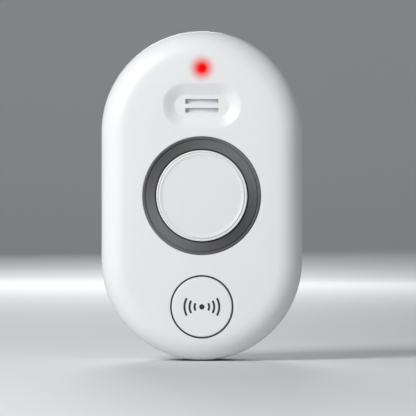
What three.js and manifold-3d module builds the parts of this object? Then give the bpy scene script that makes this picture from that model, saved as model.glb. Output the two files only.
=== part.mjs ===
// Wall-mounted carbon monoxide detector with an upright, round-ended housing.
// Millimetres, +Z up. The front faces -Y and the wall is the plane Y = 0.
// The housing is laid out about its own middle height, and the whole detector is then
// lowered so that the origin is the centre of the wall plate's back face.

import * as THREE from "three";
import { mergeVertices } from "three/addons/utils/BufferGeometryUtils.js";
import Module from "manifold-3d";

const wasm = await Module();
wasm.setup();

// ---------------------------------------------------------------- driving dimensions

// Housing
const WIDTH = 72;
const HEIGHT = 118;
const FACE_Y = -35;           // flat front face
const BACK_Y = -0.6;          // back face, just off the wall
const PARTING_Y = -14;        // seam between front cover and rear case
const EDGE_INSET = 9;         // how far in from the outline the front face starts to fall away
const EDGE_RISE = 8;          // how far back that soft edge reaches
const BACK_ROUND = 3;
const SIDE_WALL = 2.2;
const FACE_WALL = 2.5;
const BACK_WALL = 2.8;
const EDGE_THINNING = 1.2;    // the hollow's soft edge is this much smaller than the outer one
const TONGUE_THICK = 1.2;     // locating lip between case and cover
const GAP = 0.3;              // assembly gap between pieces that meet
const PAST = 1;               // how far a cutter runs past the face that it opens

// Front face features, by height above the middle of the housing
const LED_Z = 45.6;
const VENT_Z = 32.15;
const BUTTON_Z = -39.65;
const LED_R = 1.5;
const VENT_WIDTH = 28.1;
const VENT_HEIGHT = 16.3;
const VENT_DEPTH = 1.6;
const VENT_SLOPE = 4.2;
const SLOT_WIDTH = 11.8;
const SLOT_HEIGHT = 1.65;
const SLOT_PITCH = 3.2;

// Sounder, at the middle of the face
const RING_R = 21.1;
const RING_HOLE_R = 16.9;
const RING_SEAT_DEPTH = 1.6;
const CAP_R = 16.25;
const CAP_Y = -36;
const CAP_LEG_R = 1.3;
const CAP_LEG_PLACE = 12;
const CHAMBER_R = 18.2;
const CHAMBER_WALL = 1.6;
const CHAMBER_FACE = -31.2;
const CHAMBER_FACE_THICK = 1.4;
const CHAMBER_LIP = -33;
const SOUND_HOLE_R = 4.5;
const PIEZO_R = 13.5;
const PIEZO_Y = -26;
const CERAMIC_R = 9;
const LEAD_R = 0.3;

// Test button
const BUTTON_R = 10.75;
const BUTTON_RING_R = 11.3;
const BUTTON_RING_DEPTH = 1.9;
const BUTTON_FLANGE_R = 12.3;
const BUTTON_FLANGE_THICK = 1;
const BUTTON_STEM_R = 2.4;
const BUTTON_STEM_END = -29;
const SWITCH_HALF = 3;
const SWITCH_FRONT = -27.3;
const PLUNGER_R = 1.7;
const PLUNGER_BACK = -26;

// Vent filter and gas sensor, behind the slots
const FILTER_HALF = [8.2, 4.8];
const FILTER_THICK = 0.8;
const SENSOR_R = 7.4;
const SENSOR_FRONT = -29.9;

// Circuit board
const BOARD_BACK = -21.9;
const BOARD_FRONT = -23.5;
const BOARD_WIDTH = 60;
const BOARD_HEIGHT = 104;

// Screws
const CASE_SCREW_X = 15;
const CASE_SCREW_Z = 49.5;
const CASE_BOSS_R = 3.2;
const CASE_BORE_R = 3;        // counterbore in the back
const CASE_BORE_WALL = 1.4;
const CASE_SEAT_Y = -7;
const CASE_SHANK_R = 1.3;
const CASE_SCREW_END = -24;
const CASE_HEAD_R = 2.6;
const CASE_HEAD_TALL = 1.8;
const BOARD_SCREW_X = 25.5;
const BOARD_SCREW_Z = 14;
const BOARD_SCREW_END = -28;
const BOARD_HEAD_R = 2.1;
const BOARD_HEAD_TALL = 0.9;
const BOARD_SHANK_R = 0.9;
const BOARD_HOLE_R = 1.2;
const POST_R = 2.4;

// Wall plate and the pocket that it hooks into
const PLATE_WIDTH = 42;
const PLATE_HEIGHT = 36;
const PLATE_THICK = 3;
const PLATE_Z = 24;
const LIFT = 5;               // travel that frees the hooks
const POCKET_FLOOR = 1.8;
const HOOK_X = 13;
const HOOK_WIDTH = 8;
const HOOK_NECK = 3;
const HOOK_LIP = 3.5;
const HOOK_THICK = 1.5;
const HOOK_BOTTOMS = [12, 33];
const WALL_SCREW_R = 1.9;
const WALL_SCREW_HEAD_R = 3.7;

// Two AA cells lying across the lower half
const CELL_R = 7.25;
const CELL_HALF = 25.25;
const CELL_NUB = 1.5;
const CELL_NUB_R = 2.75;
const CELL_Y = -11.45;
const CELL_PITCH = 15.5;
const BAY_Z = -20.95;
const BAY_WIDTH = 57.2;
const BAY_HEIGHT = 32.4;
const BAY_WALL = 1.2;
const BAY_FLOOR_Y = -19.1;
const BAY_BACK = -4.3;
const CONTACT_X = 28;
const CONTACT_THICK = 0.4;
const CONTACT_LIFT = 4;       // half the height of a contact plate for one cell
const TAIL_HALF = 1;          // half the width of a contact's board tail
const TAIL_ROOM = 0.4;
const COIL_WIRE_R = 0.35;
const COIL_BASE_R = 3.2;
const COIL_TIP_R = 1.8;
const COIL_TURNS = 2.5;

// Battery door
const DOOR_WIDTH = 54;
const DOOR_HEIGHT = 34.4;
const DOOR_THICK = 2.4;
const DOOR_GAP = 0.4;
const DOOR_LEDGE = 1;         // rim inside the doorway that the door rests against
const THUMB_NOTCH = [14, 5];
const GRIP_HALF = 8;
const GRIP_PITCH = 1.8;
const PIN_R = 0.7;
const PIN_LENGTH = 1.3;

// Round pieces are drawn with these numbers of sides
const FINE = 40;
const PLAIN = 20;
const SMALL = 10;

const HALF_TURN = Math.PI;
const QUARTER_TURN = Math.PI / 2;

// ---------------------------------------------------------------- solids

// A three.js geometry as a closed solid with its faces pointing out.
function solidOf(geometry) {
  const bare = geometry.index ? geometry.clone() : geometry;
  bare.deleteAttribute("normal");
  bare.deleteAttribute("uv");
  const merged = mergeVertices(bare, 1e-4);
  const vertices = merged.attributes.position.array;
  const corners = [];
  for (let i = 0; i < merged.index.count; i += 3) {
    const [a, b, c] = [0, 1, 2].map((k) => merged.index.getX(i + k));
    if (a !== b && b !== c && c !== a) {
      corners.push(a, b, c);
    }
  }
  if (signedVolume(vertices, corners) < 0) {
    corners.reverse();
  }
  return new wasm.Manifold(new wasm.Mesh({
    numProp: 3,
    vertProperties: new Float32Array(vertices),
    triVerts: new Uint32Array(corners),
  }));
}

function signedVolume(vertices, corners) {
  const [a, b, c] = [new THREE.Vector3(), new THREE.Vector3(), new THREE.Vector3()];
  let six = 0;
  for (let i = 0; i < corners.length; i += 3) {
    a.fromArray(vertices, corners[i] * 3);
    b.fromArray(vertices, corners[i + 1] * 3);
    c.fromArray(vertices, corners[i + 2] * 3);
    six += a.dot(b.cross(c));
  }
  return six;
}

function geometryOf(solid) {
  const mesh = solid.getMesh();
  const geometry = new THREE.BufferGeometry();
  geometry.setAttribute("position", new THREE.BufferAttribute(mesh.vertProperties, 3));
  geometry.setIndex(new THREE.BufferAttribute(mesh.triVerts, 1));
  geometry.computeVertexNormals();
  return geometry;
}

const join = (...solids) => solids.reduce((whole, solid) => whole.add(solid));
const cut = (base, ...tools) => tools.reduce((rest, tool) => rest.subtract(tool), base);

// A box from its lowest to its highest corner.
function block([x0, y0, z0], [x1, y1, z1]) {
  const geometry = new THREE.BoxGeometry(x1 - x0, y1 - y0, z1 - z0);
  return solidOf(geometry.translate((x0 + x1) / 2, (y0 + y1) / 2, (z0 + z1) / 2));
}

// A round bar along Y between two depths.
function disc(radius, yA, yB, x = 0, z = 0, sides = PLAIN) {
  const geometry = new THREE.CylinderGeometry(radius, radius, Math.abs(yA - yB), sides);
  return solidOf(geometry.translate(x, (yA + yB) / 2, z));
}

// A turned piece about a Y axis: [radius, y] points, on the axis at both ends or closed.
function turned(profile, x = 0, z = 0, sides = PLAIN) {
  const points = profile.map(([radius, y]) => new THREE.Vector2(radius, y));
  return solidOf(new THREE.LatheGeometry(points, sides).translate(x, 0, z));
}

// A tube along Y: a ring of rectangular section.
function ring(outer, inner, yA, yB, x = 0, z = 0, sides = PLAIN) {
  return turned([[inner, yA], [outer, yA], [outer, yB], [inner, yB], [inner, yA]], x, z, sides);
}

// A rectangle with round corners, centred on (x, z). A radius of half the short side gives
// an outline with fully round ends.
function roundedOutline(width, height, radius, x = 0, z = 0) {
  const dx = width / 2 - radius;
  const dz = height / 2 - radius;
  const shape = new THREE.Shape();
  const corners = [[dx, -dz], [dx, dz], [-dx, dz], [-dx, -dz]];
  corners.forEach(([cx, cz], k) => {
    const start = QUARTER_TURN * (k - 1);
    shape.absarc(x + cx, z + cz, radius, start, start + QUARTER_TURN, false);
  });
  return shape;
}

const roundEnded = (width, height, x = 0, z = 0) =>
  roundedOutline(width, height, Math.min(width, height) / 2, x, z);

// An outline given depth along Y, with a quarter-ellipse edge towards the front if asked for.
function slab(outline, yBack, yFront, { inset = 0, rise = 0, curve = 6, steps = 6 } = {}) {
  const soft = rise > 0;
  const geometry = new THREE.ExtrudeGeometry(outline, {
    depth: yBack - yFront - (soft ? 2 * rise : 0),
    bevelEnabled: soft,
    bevelSize: inset,
    bevelOffset: -inset,
    bevelThickness: rise,
    bevelSegments: steps,
    curveSegments: curve,
  });
  geometry.rotateX(QUARTER_TURN);
  return solidOf(geometry.translate(0, yBack - (soft ? rise : 0), 0));
}

// A slab that is soft at the front only: the back half of the rounding is trimmed off.
function frontRounded(outline, yBack, yFront, edge) {
  const whole = slab(outline, yBack + 2 * edge.rise, yFront, edge);
  return whole.intersect(block([-200, yFront - 1, -200], [200, yBack, 200]));
}

// The same, soft at the back only.
function backRounded(outline, yBack, yFront, edge) {
  const whole = slab(outline, yBack, yFront - 2 * edge.rise, edge);
  return whole.intersect(block([-200, yFront, -200], [200, yBack + 1, 200]));
}

// Mirror-image places, left and right, above and below.
const fourPlaces = (x, z) => [[-x, z], [x, z], [-x, -z], [x, -z]];

// ---------------------------------------------------------------- housing

const INNER_WIDTH = WIDTH - 2 * SIDE_WALL;
const INNER_HEIGHT = HEIGHT - 2 * SIDE_WALL;
const INNER_FACE = FACE_Y + FACE_WALL;
const VENT_FLOOR = FACE_Y + VENT_DEPTH;
const RING_SEAT = FACE_Y + RING_SEAT_DEPTH;
const BUTTON_RING_SEAT = FACE_Y + BUTTON_RING_DEPTH;
const COVER_EDGE = PARTING_Y - GAP / 2;
const CASE_EDGE = PARTING_Y + GAP / 2;
const CASE_SCREWS = fourPlaces(CASE_SCREW_X, CASE_SCREW_Z);
const BOARD_SCREWS = fourPlaces(BOARD_SCREW_X, BOARD_SCREW_Z);
const SLOT_HEIGHTS = [VENT_Z + SLOT_PITCH / 2, VENT_Z - SLOT_PITCH / 2];

function frontCover() {
  const outline = roundEnded(WIDTH, HEIGHT);
  const outer = frontRounded(outline, COVER_EDGE, FACE_Y,
    { inset: EDGE_INSET, rise: EDGE_RISE });
  const hollow = frontRounded(roundEnded(INNER_WIDTH, INNER_HEIGHT), PARTING_Y + PAST, INNER_FACE,
    { inset: EDGE_INSET - EDGE_THINNING, rise: EDGE_RISE - EDGE_THINNING, steps: 4 });
  const bosses = CASE_SCREWS.map(([x, z]) => disc(CASE_BOSS_R, FACE_Y, COVER_EDGE, x, z, SMALL));
  const posts = BOARD_SCREWS.map(([x, z]) => disc(POST_R, FACE_Y, BOARD_FRONT - GAP, x, z, SMALL));
  const shell = cut(outer, cut(hollow, ...bosses, ...posts));
  const caseHoles = CASE_SCREWS.map(([x, z]) =>
    disc(CASE_SHANK_R + GAP, PARTING_Y + PAST, CASE_SCREW_END - GAP, x, z, SMALL));
  const boardHoles = BOARD_SCREWS.map(([x, z]) =>
    disc(BOARD_HOLE_R, BOARD_BACK, BOARD_SCREW_END - GAP, x, z, SMALL));
  return cut(shell, ...caseHoles, ...boardHoles, ...faceOpenings());
}

// Everything that is cut into the front face.
function faceOpenings() {
  const above = FACE_Y - PAST;
  const through = INNER_FACE + PAST;
  const vent = slab(roundEnded(VENT_WIDTH, VENT_HEIGHT, 0, VENT_Z), VENT_FLOOR, FACE_Y - 2 * VENT_DEPTH,
    { inset: VENT_SLOPE, rise: VENT_DEPTH, steps: 3 });
  const slots = SLOT_HEIGHTS.map((z) =>
    block([-SLOT_WIDTH / 2, above, z - SLOT_HEIGHT / 2], [SLOT_WIDTH / 2, through, z + SLOT_HEIGHT / 2]));
  return [
    vent,
    ...slots,
    disc(RING_R + GAP, above, RING_SEAT, 0, 0, FINE),
    disc(CHAMBER_R + 0.4, above, through, 0, 0, FINE),
    disc(BUTTON_RING_R + 0.1, above, BUTTON_RING_SEAT, 0, BUTTON_Z, FINE),
    disc(BUTTON_R + 0.2, above, through, 0, BUTTON_Z, FINE),
    disc(BUTTON_FLANGE_R + GAP, INNER_FACE, through + EDGE_RISE / 2, 0, BUTTON_Z, FINE),
    disc(LED_R + 0.1, above, through, 0, LED_Z, SMALL),
  ];
}

const DOOR_Z = BAY_Z;
const DOOR_HEAD = DOOR_Z + DOOR_HEIGHT / 2;
const DOOR_FOOT = DOOR_Z - DOOR_HEIGHT / 2;
const KNUCKLE_R = DOOR_THICK / 2;
const HINGE_Y = BACK_Y - KNUCKLE_R;
const HINGE_Z = DOOR_FOOT + KNUCKLE_R;
const CELL_ROWS = [BAY_Z + CELL_PITCH / 2, BAY_Z - CELL_PITCH / 2];
const POCKET_Y = -PLATE_THICK - GAP;
const POCKET_FOOT = PLATE_Z - PLATE_HEIGHT / 2 - LIFT - DOOR_GAP;
const POCKET_HEAD = PLATE_Z + PLATE_HEIGHT / 2 + DOOR_GAP;
const POCKET_HALF = PLATE_WIDTH / 2 + DOOR_GAP;

// The rear case, with the plate's pocket, the battery bay and the screw bosses moulded in.
function rearCase() {
  const outer = backRounded(roundEnded(WIDTH, HEIGHT), BACK_Y, CASE_EDGE,
    { inset: BACK_ROUND, rise: BACK_ROUND, steps: 3 });
  const hollow = slab(roundEnded(INNER_WIDTH, INNER_HEIGHT), BACK_Y - BACK_WALL, PARTING_Y - PAST);
  const shell = join(cut(outer, hollow), caseTongue());
  const pocketWall = POCKET_HALF + POCKET_FLOOR;
  const pocketBox = block([-pocketWall, POCKET_Y - POCKET_FLOOR, POCKET_FOOT - POCKET_FLOOR],
    [pocketWall, BACK_Y, POCKET_HEAD + POCKET_FLOOR]);
  const bayWall = { x: BAY_WIDTH / 2 + BAY_WALL, z: BAY_HEIGHT / 2 + BAY_WALL };
  const bayBox = block([-bayWall.x, BAY_FLOOR_Y - BAY_WALL, BAY_Z - bayWall.z],
    [bayWall.x, BACK_Y - PAST, BAY_Z + bayWall.z]);
  const bosses = CASE_SCREWS.map(([x, z]) =>
    disc(CASE_BORE_R + CASE_BORE_WALL, BACK_Y - PAST, CASE_EDGE, x, z, SMALL));
  const inside = slab(roundEnded(INNER_WIDTH + 1, INNER_HEIGHT + 1), BACK_Y - 0.5, BAY_FLOOR_Y - 3);
  const fittings = join(pocketBox, bayBox, ...bosses).intersect(join(inside, pocketBox));
  return cut(join(shell, fittings), ...caseOpenings());
}

// The thin lip that locates the case inside the cover.
function caseTongue() {
  const band = (width, yBack, yFront) =>
    slab(roundEnded(width, width + HEIGHT - WIDTH), yBack, yFront);
  const slim = INNER_WIDTH - 2 * GAP;
  const core = band(slim - 2 * TONGUE_THICK, PARTING_Y + 5, PARTING_Y - 5);
  const bossGaps = CASE_SCREWS.map(([x, z]) =>
    disc(CASE_BOSS_R + 2 * GAP, CASE_EDGE, PARTING_Y - 5, x, z, SMALL));
  return cut(join(band(slim, PARTING_Y + 2, PARTING_Y - 2.5),
    band(INNER_WIDTH + 1, PARTING_Y + 3, CASE_EDGE + 0.5)), core, ...bossGaps);
}

function caseOpenings() {
  const pocket = block([-POCKET_HALF, POCKET_Y, POCKET_FOOT], [POCKET_HALF, PAST, POCKET_HEAD]);
  const hookRoom = HOOK_WIDTH / 2 + DOOR_GAP;
  const hookSlots = hookPlaces().map(([x, z]) =>
    block([x - hookRoom, POCKET_Y - POCKET_FLOOR - PAST, z - LIFT - DOOR_GAP],
      [x + hookRoom, POCKET_Y + PAST, z + HOOK_NECK + GAP]));
  const bay = block([-BAY_WIDTH / 2, BAY_FLOOR_Y, BAY_Z - BAY_HEIGHT / 2],
    [BAY_WIDTH / 2, BAY_BACK, BAY_Z + BAY_HEIGHT / 2]);
  const aroundDoor = (margin, radius) =>
    roundedOutline(DOOR_WIDTH + 2 * margin, DOOR_HEIGHT + 2 * margin, radius, 0, DOOR_Z);
  const mouth = slab(aroundDoor(-DOOR_LEDGE, 2), PAST, BAY_FLOOR_Y + 2);
  const doorway = slab(aroundDoor(DOOR_GAP, 0.6), PAST, BACK_Y - DOOR_THICK - GAP, { curve: 4 });
  const thumbNotch = slab(roundEnded(...THUMB_NOTCH, 0, DOOR_HEAD), PAST, BACK_Y - DOOR_THICK / 2,
    { curve: 4 });
  const tails = tailSlots(BAY_FLOOR_Y - BAY_WALL - PAST, BAY_FLOOR_Y + PAST);
  const pinBore = pinBar(PIN_R + 0.2, DOOR_WIDTH / 2 + PIN_LENGTH + GAP);
  const bores = CASE_SCREWS.flatMap(([x, z]) => [
    disc(CASE_BORE_R, PAST, CASE_SEAT_Y, x, z, SMALL),
    disc(CASE_SHANK_R + GAP, PAST, PARTING_Y - 2, x, z, SMALL),
  ]);
  return [pocket, ...hookSlots, bay, mouth, doorway, thumbNotch, ...tails, pinBore, ...bores];
}

// Slots that let the contacts' tails reach the board.
const tailSlots = (yFront, yBack) => CELL_ROWS.map((z) =>
  block([CONTACT_X - CONTACT_THICK / 2 - TAIL_ROOM, yFront, z - TAIL_HALF - TAIL_ROOM],
    [CONTACT_X + CONTACT_THICK / 2 + TAIL_ROOM, yBack, z + TAIL_HALF + TAIL_ROOM]));

// A round bar on the door's hinge line.
function pinBar(radius, reach) {
  const geometry = new THREE.CylinderGeometry(radius, radius, 2 * reach, SMALL);
  geometry.rotateZ(QUARTER_TURN);
  return solidOf(geometry.translate(0, HINGE_Y, HINGE_Z));
}

// The door turns on two stub pins in its rolled lower edge.
function batteryDoor() {
  const face = slab(roundedOutline(DOOR_WIDTH, DOOR_HEIGHT, 0.8, 0, DOOR_Z),
    BACK_Y, BACK_Y - DOOR_THICK, { curve: 4 });
  const foot = block([-DOOR_WIDTH, BACK_Y - 2 * DOOR_THICK, DOOR_FOOT - PAST], [DOOR_WIDTH, PAST, HINGE_Z]);
  const knuckle = pinBar(KNUCKLE_R, DOOR_WIDTH / 2 - 0.6);
  const pins = pinBar(PIN_R, DOOR_WIDTH / 2 + PIN_LENGTH);
  const grooves = [0, 1, 2].map((k) => {
    const z = DOOR_HEAD - 4 - GRIP_PITCH * k;
    return block([-GRIP_HALF, BACK_Y - 0.5, z - 0.4], [GRIP_HALF, BACK_Y + PAST, z + 0.4]);
  });
  return cut(join(cut(face, foot), knuckle, pins), ...grooves);
}

// ---------------------------------------------------------------- wall plate

const hookPlaces = () => HOOK_BOTTOMS.flatMap((z) => [[-HOOK_X, z], [HOOK_X, z]]);

function wallPlate() {
  const outline = roundedOutline(PLATE_WIDTH, PLATE_HEIGHT, 3, 0, PLATE_Z);
  const plate = slab(outline, 0, -PLATE_THICK, { curve: 4 });
  const hookEnd = POCKET_Y - POCKET_FLOOR - GAP - HOOK_THICK;
  const half = HOOK_WIDTH / 2;
  const hooks = hookPlaces().flatMap(([x, z]) => [
    block([x - half, hookEnd, z], [x + half, -PLATE_THICK / 2, z + HOOK_NECK]),
    block([x - half, hookEnd, z], [x + half, hookEnd + HOOK_THICK, z + HOOK_NECK + HOOK_LIP]),
  ]);
  const front = -PLATE_THICK;
  const screwHole = (x) => turned([
    [0, PAST], [WALL_SCREW_R, PAST], [WALL_SCREW_R, front + WALL_SCREW_HEAD_R - WALL_SCREW_R],
    [WALL_SCREW_HEAD_R, front], [WALL_SCREW_HEAD_R, front - PAST], [0, front - PAST],
  ], x, PLATE_Z);
  return cut(join(plate, ...hooks), screwHole(-HOOK_X), screwHole(HOOK_X));
}

// ---------------------------------------------------------------- face trim and sounder

// Dark ring: a raised outer lip, a fine groove and a gently sloping band.
function sounderRing() {
  const back = RING_SEAT - GAP;
  return turned([
    [RING_HOLE_R, back], [RING_R, back], [RING_R, FACE_Y + 0.1], [RING_R - 0.2, FACE_Y - 0.1],
    [RING_R - 0.8, FACE_Y - 0.1], [RING_R - 0.9, FACE_Y + 0.3], [RING_R - 1.2, FACE_Y + 0.3],
    [RING_R - 1.4, FACE_Y], [RING_HOLE_R + 0.2, FACE_Y - 0.3], [RING_HOLE_R, FACE_Y - 0.1],
    [RING_HOLE_R, back],
  ], 0, 0, FINE);
}

// White cap that floats in front of the sounder on three legs, so that sound leaves round it.
function sounderCap() {
  const under = FACE_Y + 0.7;
  const dome = turned([
    [0, under], [CAP_R - 0.4, under], [CAP_R, under - 0.4], [CAP_R, CAP_Y + 0.7],
    [CAP_R - 0.5, CAP_Y + 0.1], [CAP_R - 1.1, CAP_Y], [CAP_R - 1.7, CAP_Y + 0.25],
    [CAP_R - 2.1, CAP_Y + 0.3], [0, CAP_Y + 0.3],
  ], 0, 0, FINE);
  const legs = [0, 1, 2].map((k) => {
    const angle = QUARTER_TURN + (k * 2 * HALF_TURN) / 3;
    const x = CAP_LEG_PLACE * Math.cos(angle);
    const z = CAP_LEG_PLACE * Math.sin(angle);
    return disc(CAP_LEG_R, under - 0.5, CHAMBER_FACE - GAP, x, z, SMALL);
  });
  return join(dome, ...legs);
}

// Resonator chamber: a tube with a pierced front wall and a shelf for the piezo disc.
function sounderChamber() {
  const end = BOARD_FRONT - GAP;
  const inner = CHAMBER_R - CHAMBER_WALL;
  const faceBack = CHAMBER_FACE + CHAMBER_FACE_THICK;
  const shelfBack = PIEZO_Y - 2 * GAP;
  const shelfFront = shelfBack - 1.3;
  const tube = turned([
    [inner, end], [CHAMBER_R, end], [CHAMBER_R, CHAMBER_LIP], [inner, CHAMBER_LIP],
    [inner, CHAMBER_FACE], [SOUND_HOLE_R, CHAMBER_FACE], [SOUND_HOLE_R, faceBack],
    [inner, faceBack], [inner, shelfFront], [PIEZO_R - 1, shelfFront], [PIEZO_R - 1, shelfBack],
    [inner, shelfBack], [inner, end],
  ], 0, 0, FINE);
  const wireNotch = block([-2.5, PIEZO_Y - 0.2, -20], [2.5, -20, -14]);
  return cut(tube, wireNotch);
}

const piezoDisc = () => disc(PIEZO_R, PIEZO_Y, PIEZO_Y - 0.3, 0, 0, FINE);
const piezoCeramic = () => disc(CERAMIC_R, PIEZO_Y + 0.55, PIEZO_Y + 0.3, 0, 0, PLAIN);

// A fine wire from the back of the piezo disc to the board.
function piezoLead(x) {
  const route = [[x, PIEZO_Y + 1.2, -3], [x, PIEZO_Y + 1.5, -7], [x, BOARD_FRONT - 0.8, -11]];
  const section = new THREE.Shape();
  section.absarc(0, 0, LEAD_R, 0, 2 * HALF_TURN, false);
  return solidOf(new THREE.ExtrudeGeometry(section, {
    steps: 6,
    curveSegments: 4,
    bevelEnabled: false,
    extrudePath: new THREE.CatmullRomCurve3(route.map((point) => new THREE.Vector3(...point))),
  }));
}

// ---------------------------------------------------------------- test button

function testButton() {
  const flangeFront = INNER_FACE + GAP;
  const flangeBack = flangeFront + BUTTON_FLANGE_THICK;
  return turned([
    [0, FACE_Y], [BUTTON_R - 0.3, FACE_Y], [BUTTON_R, FACE_Y + 0.3], [BUTTON_R, flangeFront],
    [BUTTON_FLANGE_R, flangeFront], [BUTTON_FLANGE_R, flangeBack], [BUTTON_STEM_R, flangeBack],
    [BUTTON_STEM_R, BUTTON_STEM_END], [0, BUTTON_STEM_END],
  ], 0, BUTTON_Z, FINE);
}

const buttonRing = () =>
  ring(BUTTON_RING_R, BUTTON_R + 0.2, BUTTON_RING_SEAT - GAP, FACE_Y + 0.05, 0, BUTTON_Z, FINE);

function tactSwitch() {
  const body = block([-SWITCH_HALF, SWITCH_FRONT, BUTTON_Z - SWITCH_HALF],
    [SWITCH_HALF, BOARD_FRONT - GAP, BUTTON_Z + SWITCH_HALF]);
  return cut(body, disc(PLUNGER_R + 0.2, SWITCH_FRONT - 1, BOARD_FRONT - 1.2, 0, BUTTON_Z, SMALL));
}

const switchPlunger = () =>
  disc(PLUNGER_R, PLUNGER_BACK, BUTTON_STEM_END + GAP, 0, BUTTON_Z, SMALL);

// ---------------------------------------------------------------- light, vent and sensor

const ledLens = () => turned([
  [0, -29.5], [LED_R + 0.7, -29.5], [LED_R + 0.7, INNER_FACE + GAP + 0.2], [LED_R, INNER_FACE + GAP + 0.2],
  [LED_R, FACE_Y + 0.1], [LED_R - 0.4, FACE_Y - 0.15], [0, FACE_Y - 0.3],
], 0, LED_Z, SMALL);

const statusLed = () => turned([
  [0, BOARD_FRONT - GAP], [1.9, BOARD_FRONT - GAP], [1.9, BOARD_FRONT - 1.3], [1.5, BOARD_FRONT - 1.3],
  [1.5, -27.8], [0.9, -28.8], [0, -29.1],
], 0, LED_Z, SMALL);

const FILTER_FRONT = INNER_FACE + GAP;
const FILTER_BACK = FILTER_FRONT + FILTER_THICK;

function ventFilter() {
  const [halfWidth, halfHeight] = FILTER_HALF;
  return block([-halfWidth, FILTER_FRONT, VENT_Z - halfHeight],
    [halfWidth, FILTER_BACK, VENT_Z + halfHeight]);
}

const sensorGasket = () =>
  ring(SENSOR_R - 0.4, SENSOR_R - 2.6, SENSOR_FRONT - GAP, FILTER_BACK + GAP, 0, VENT_Z);

// Electrochemical cell: a rolled metal can with a small gas hole in its front.
const coSensor = () => turned([
  [0, BOARD_FRONT - GAP], [SENSOR_R, BOARD_FRONT - GAP], [SENSOR_R, SENSOR_FRONT + 0.5],
  [SENSOR_R - 0.5, SENSOR_FRONT], [1.4, SENSOR_FRONT], [1.4, SENSOR_FRONT + 1], [0, SENSOR_FRONT + 1],
], 0, VENT_Z);

// ---------------------------------------------------------------- circuit board

function mainBoard() {
  const board = slab(roundEnded(BOARD_WIDTH, BOARD_HEIGHT), BOARD_BACK, BOARD_FRONT);
  const behind = BOARD_BACK + PAST;
  const before = BOARD_FRONT - PAST;
  const notches = CASE_SCREWS.map(([x, z]) => disc(CASE_BOSS_R + 0.8, behind, before, x, z, SMALL));
  const holes = BOARD_SCREWS.map(([x, z]) => disc(BOARD_HOLE_R, behind, before, x, z, SMALL));
  return cut(board, ...notches, ...holes, ...tailSlots(before, behind));
}

// A surface part standing on the front of the board, given its middle, size and height.
const chip = (x, z, width, height, tall) =>
  block([x - width / 2, BOARD_FRONT - GAP - tall, z - height / 2],
    [x + width / 2, BOARD_FRONT - GAP, z + height / 2]);

const canOnBoard = (x, z, radius, tall) => turned([
  [0, BOARD_FRONT - GAP], [radius, BOARD_FRONT - GAP], [radius, BOARD_FRONT - GAP - tall + 0.3],
  [radius - 0.3, BOARD_FRONT - GAP - tall], [0, BOARD_FRONT - GAP - tall],
], x, z);

// ---------------------------------------------------------------- cells and contacts

// Laid along X, with its raised end towards +X or -X.
function cell(towards) {
  const can = CELL_HALF - CELL_NUB;
  const geometry = new THREE.LatheGeometry([
    [0, -CELL_HALF], [CELL_R - 0.5, -CELL_HALF], [CELL_R, -CELL_HALF + 0.5], [CELL_R, can - 0.5],
    [CELL_R - 0.5, can], [CELL_NUB_R, can], [CELL_NUB_R, CELL_HALF - 0.2],
    [CELL_NUB_R - 0.3, CELL_HALF], [0, CELL_HALF],
  ].map(([radius, along]) => new THREE.Vector2(radius, along)), PLAIN);
  geometry.rotateZ(-towards * QUARTER_TURN);
  return solidOf(geometry.translate(0, CELL_Y, CELL_ROWS[towards > 0 ? 0 : 1]));
}

// Side says which end of the bay; a tail runs down to the board.
function contactPlate(side, zLow, zHigh) {
  const x = side * CONTACT_X;
  return block([x - CONTACT_THICK / 2, CELL_Y - CONTACT_LIFT, zLow],
    [x + CONTACT_THICK / 2, CELL_Y + CONTACT_LIFT, zHigh]);
}

function contactTail(z) {
  return block([CONTACT_X - CONTACT_THICK / 2, BOARD_FRONT - 0.6, z - TAIL_HALF],
    [CONTACT_X + CONTACT_THICK / 2, CELL_Y, z + TAIL_HALF]);
}

// A pressed dimple that meets a cell's raised end.
function dimple(side, z) {
  const reach = CONTACT_X - CELL_HALF - GAP;
  const geometry = new THREE.CylinderGeometry(1.2, 2.4, reach, SMALL);
  geometry.rotateZ(side * QUARTER_TURN);
  return solidOf(geometry.translate(side * (CONTACT_X - reach / 2), CELL_Y, z));
}

// A conical coil that presses on a cell's flat end.
function coil(side, z) {
  const steps = 30;
  const reach = CONTACT_X - CELL_HALF - GAP - COIL_WIRE_R;
  const points = Array.from({ length: steps + 1 }, (_, k) => {
    const share = k / steps;
    const radius = COIL_BASE_R + share * (COIL_TIP_R - COIL_BASE_R);
    const angle = COIL_TURNS * 2 * HALF_TURN * share;
    const y = CELL_Y + radius * Math.cos(angle);
    return new THREE.Vector3(side * (CONTACT_X - share * reach), y, z + radius * Math.sin(angle));
  });
  const section = new THREE.Shape();
  section.absarc(0, 0, COIL_WIRE_R, 0, 2 * HALF_TURN, false);
  return solidOf(new THREE.ExtrudeGeometry(section, {
    steps,
    curveSegments: 3,
    bevelEnabled: false,
    extrudePath: new THREE.CatmullRomCurve3(points),
  }));
}

const [UPPER, LOWER] = CELL_ROWS;

const cellLink = () => join(contactPlate(-1, LOWER - CONTACT_LIFT, UPPER + CONTACT_LIFT),
  coil(-1, UPPER), dimple(-1, LOWER));
const plateContact = () => join(contactPlate(1, UPPER - CONTACT_LIFT, UPPER + CONTACT_LIFT),
  dimple(1, UPPER), contactTail(UPPER));
const springContact = () => join(contactPlate(1, LOWER - CONTACT_LIFT, LOWER + CONTACT_LIFT),
  coil(1, LOWER), contactTail(LOWER));

// ---------------------------------------------------------------- screws

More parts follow.
